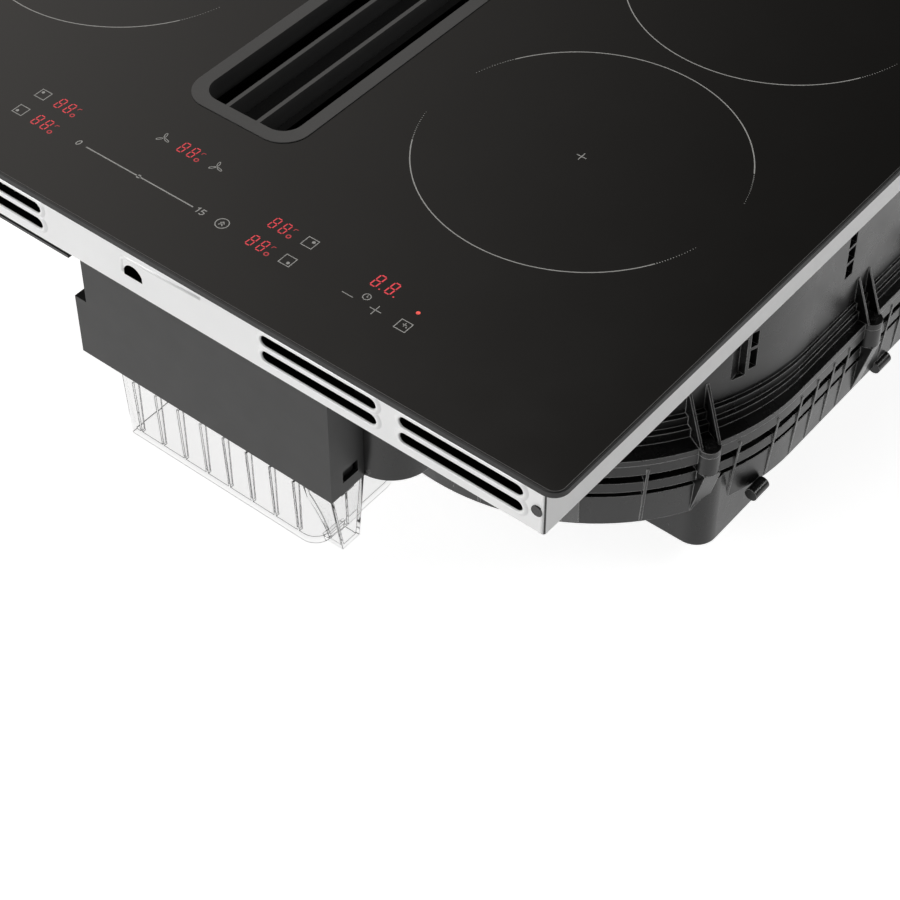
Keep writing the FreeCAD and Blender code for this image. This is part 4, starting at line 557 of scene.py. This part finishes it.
def fan_symbol(marks, x, y):
    """Three open blades round a point."""
    for turn in (100, 220, 340):
        shares = [step / 13 for step in range(14)]
        outline = [on_circle(x, y, 0.6 + 3.6 * math.sin(math.pi * share), turn + 46 * (share - 0.35))
                   for share in shares]
        marks.stroke(outline, 0.42, closed=True)


SEGMENTS = (((0, 1), (1, 1)), ((1, 1), (1, 0.5)), ((1, 0.5), (1, 0)), ((1, 0), (0, 0)),
            ((0, 0), (0, 0.5)), ((0, 0.5), (0, 1)), ((0, 0.5), (1, 0.5)))


def digit(marks, left, base, width, height, thickness):
    """A lit figure 8: seven bars with small gaps between them, leaning slightly."""
    lean, gap = 0.06, 0.42
    for (x0, y0), (x1, y1) in SEGMENTS:
        start = Vector((left + x0 * width + lean * y0 * height, base + y0 * height))
        end = Vector((left + x1 * width + lean * y1 * height, base + y1 * height))
        along = (end - start).normalized() * gap
        marks.stroke([tuple(start + along), tuple(end - along)], thickness)


def displays():
    """Lit figures and signs: five pairs beside the zones' marks and one for the timer."""
    bright = Marks("lit_segments", "red", "red_display")
    dim = Marks("lit_symbols", "red_dim", "red_display")
    for left, base in ((-84.3, -203.6), (-83.9, -220.9), (-7.3, -189.4), (69.9, -204.2), (69.9, -220.9)):
        for step in (0, 6.9):
            digit(bright, left + step, base, 3.3, 7.9, 0.62)
        dim.stroke([(left + 13, base + 5.6), (left + 13.4, base + 7), (left + 15, base + 7.2)], 0.45)
        dim.ring(left + 14, base + 0.6, 1.15, 0.7)
    for step in (0, 9):
        digit(bright, 138.2 + step, -204.9, 3.5, 8.7, 0.75)
        bright.disc(144.3 + step, -204.9, 0.5, 10)
    bright.finish()
    dim.finish()
    dot = Marks("lit_dot", "red_dot", "red_display")
    dot.disc(169.9, -206, 1.15)
    dot.finish()


# ---------------------------------------------------------------- pressed shapes on the tray
def swept(name, path, profile, closed=False):
    """A zinc profile of (across, out) pairs carried along a path in the tray's front face.

    path: (x, z) points in millimetres; across lies in the face, out points forward.
    """
    mesh = bmesh.new()
    rows = []
    count = len(path)
    for index, (x, z) in enumerate(path):
        before = path[index - 1] if closed or index else path[index]
        after = path[(index + 1) % count] if closed or index < count - 1 else path[index]
        along = Vector((after[0] - before[0], after[1] - before[1])).normalized()
        across = Vector((along.y, -along.x))
        rows.append([mesh.verts.new(((x + across.x * aside) * MM, TRAY_FRONT - out * MM,
                                     (z + across.y * aside) * MM)) for aside, out in profile])
    for index in range(count if closed else count - 1):
        here, there = rows[index], rows[(index + 1) % count]
        for column in range(len(profile) - 1):
            mesh.faces.new((here[column], there[column], there[column + 1], here[column + 1]))
    if not closed:
        mesh.faces.new(rows[0])
        mesh.faces.new(list(reversed(rows[-1])))
    bmesh.ops.recalc_face_normals(mesh, faces=mesh.faces)
    data = bpy.data.meshes.new(name)
    mesh.to_mesh(data)
    mesh.free()
    for polygon in data.polygons:
        polygon.use_smooth = True
    data.materials.append(MATERIALS["zinc"])
    obj = bpy.data.objects.new(name, data)
    bpy.context.collection.objects.link(obj)
    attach(obj, "base")


def slot_rims():
    """The rolled edge round each air slot."""
    drop, pitch, radius, length = 28.9, 10.8, 3.5, 75
    profile = [(0.0, -0.02), (0.15, 0.45), (0.5, 0.85), (1.1, 1.0), (1.9, 0.85), (2.7, 0.35), (3.3, -0.02)]
    for group, left in enumerate((98.5, 188.3, -133.5, -223.3)):
        for row in range(2):
            middle = GLASS_TOP / MM - drop - row * pitch - radius
            path = [on_circle(centre, middle, radius, start + 15 * step)
                    for centre, start in ((left + length - radius, -90), (left + radius, 90))
                    for step in range(13)]
            swept(f"slot_rim_{group}_{row}", path, profile, closed=True)


def corner_folds():
    """The rounded vertical fold where the front sheet wraps each side."""
    profile = [(-0.9, -0.02), (-0.8, 0.35), (0, 0.55), (0.8, 0.35), (0.9, -0.02)]
    place = TRAY_HALF[0] / MM - 1.3
    for name, x in (("right", place), ("left", -place)):
        swept(f"corner_fold_{name}", [(x, -48.5), (x, -25), (x, 0)], profile)


def pressed_bead():
    """The shallow pressed line that turns from beside the D-shaped hole to the right."""
    bend = [math.radians(180 - 15 * step) for step in range(7)]
    path = [(0.4, -38), (0.4, -31)]
    path += [(4.2 + 3.8 * math.cos(angle), -30.8 + 3.4 * math.sin(angle)) for angle in bend]
    path.append((57, -25.2))
    profile = [(-1.3, -0.02), (-0.7, 0.35), (0, 0.5), (0.7, 0.35), (1.3, -0.02)]
    swept("keyhole_bead", path, profile)


# ---------------------------------------------------------------- studio
def area_light(name, place, target, size, power):
    """A white lamp of a width and height, turned to a target."""
    data = bpy.data.lights.new(name, "AREA")
    data.shape = "RECTANGLE"
    data.size, data.size_y = size
    data.energy = power
    lamp = bpy.data.objects.new(name, data)
    bpy.context.collection.objects.link(lamp)
    lamp.location = place
    lamp.rotation_euler = (Vector(target) - Vector(place)).to_track_quat("-Z", "Y").to_euler()


def seen_directly(nodes, links):
    """One for rays from the camera and rays through clear pieces, with the ray's node."""
    path = nodes.new("ShaderNodeLightPath")
    seen = calculate(nodes, links, "MAXIMUM", path.outputs["Is Camera Ray"],
                     path.outputs["Is Transmission Ray"], clamp=True)
    return seen, path


def mix_shaders(nodes, links, factor, first, second):
    """One shader where the factor is nought, the other where it is one."""
    mix = nodes.new("ShaderNodeMixShader")
    for socket, source in zip(mix.inputs, (factor, first, second)):
        links.new(source, socket)
    return mix.outputs[0]


def make_world():
    """White to the camera; to everything else a soft sky that fades from left to right."""
    world = bpy.data.worlds.new("studio")
    bpy.context.scene.world = world
    world.use_nodes = True
    nodes, links = world.node_tree.nodes, world.node_tree.links
    nodes.clear()
    output = nodes.new("ShaderNodeOutputWorld")
    place = nodes.new("ShaderNodeTexCoord").outputs["Generated"]
    level = nodes.new("ShaderNodeVectorMath")
    level.operation = "MULTIPLY"
    level.inputs[1].default_value = (-1, -1, 0)
    links.new(place, level.inputs[0])
    unit = nodes.new("ShaderNodeVectorMath")
    unit.operation = "NORMALIZE"
    links.new(level.outputs["Vector"], unit.inputs[0])
    split = nodes.new("ShaderNodeSeparateXYZ")
    links.new(unit.outputs["Vector"], split.inputs["Vector"])
    sky = nodes.new("ShaderNodeValToRGB")
    stops = sky.color_ramp.elements
    stops[0].position, stops[0].color = 0.38, (0.06, 0.058, 0.055, 1)
    stops[1].position, stops[1].color = 0.86, (0.86, 0.82, 0.77, 1)
    for spot, value in ((0.5, 0.15), (0.6, 0.3), (0.7, 0.5), (0.79, 0.75)):
        stop = stops.new(spot)
        stop.color = (value, value * 0.955, value * 0.91, 1)
    links.new(split.outputs["X"], sky.inputs["Fac"])
    light = nodes.new("ShaderNodeBackground")
    links.new(sky.outputs["Color"], light.inputs["Color"])
    white = nodes.new("ShaderNodeBackground")
    for source in (light, white):
        source.inputs["Strength"].default_value = 1.0
    seen, _ = seen_directly(nodes, links)
    links.new(mix_shaders(nodes, links, seen, light.outputs[0], white.outputs[0]), output.inputs["Surface"])


def make_floor():
    """A wide pale floor, nearly white where nothing shades it, clear of the lowered tank."""
    half = 6
    corners = [(-half, -half, 0), (half, -half, 0), (half, half, 0), (-half, half, 0)]
    data = bpy.data.meshes.new("floor")
    data.from_pydata(corners, [], [(0, 1, 2, 3)])
    floor = bpy.data.objects.new("floor", data)
    bpy.context.collection.objects.link(floor)
    floor.location.z = cad_box[0][2] - FLOOR_GAP
    material, nodes, links, shader = new_material("floor_white", (0.6, 0.6, 0.6), 0.9)
    shader.inputs["Specular IOR Level"].default_value = 0.0
    glow = nodes.new("ShaderNodeEmission")
    glow.inputs["Strength"].default_value = 0.84
    add = nodes.new("ShaderNodeAddShader")
    links.new(shader.outputs[0], add.inputs[0])
    links.new(glow.outputs[0], add.inputs[1])
    seen, path = seen_directly(nodes, links)
    bright = calculate(nodes, links, "MAXIMUM", seen, path.outputs["Is Glossy Ray"])
    links.new(mix_shaders(nodes, links, bright, shader.outputs[0], add.outputs[0]),
              nodes["Material Output"].inputs["Surface"])
    data.materials.append(material)


make_camera()
dress_nodes()
zone_rings()
glass_edge_highlight()
control_marks()
displays()
slot_rims()
corner_folds()
pressed_bead()
make_world()
make_floor()
area_light("front_light", (-0.9, -2.6, 0.5), (0, 0, -0.05), (2.4, 1.0), 46)
area_light("right_light", (2.6, 0.6, 0.35), (0, 0, -0.05), (1.2, 0.6), 3)
area_light("rim_light", (2.1, 1.65, 1.4), (0.2, 0, -0.1), (1.2, 0.5), 16)
area_light("top_light", (-0.5, 0.2, 2.6), (0, 0, 0), (1.6, 1.6), 24)
bpy.context.scene.view_settings.view_transform = "Standard"
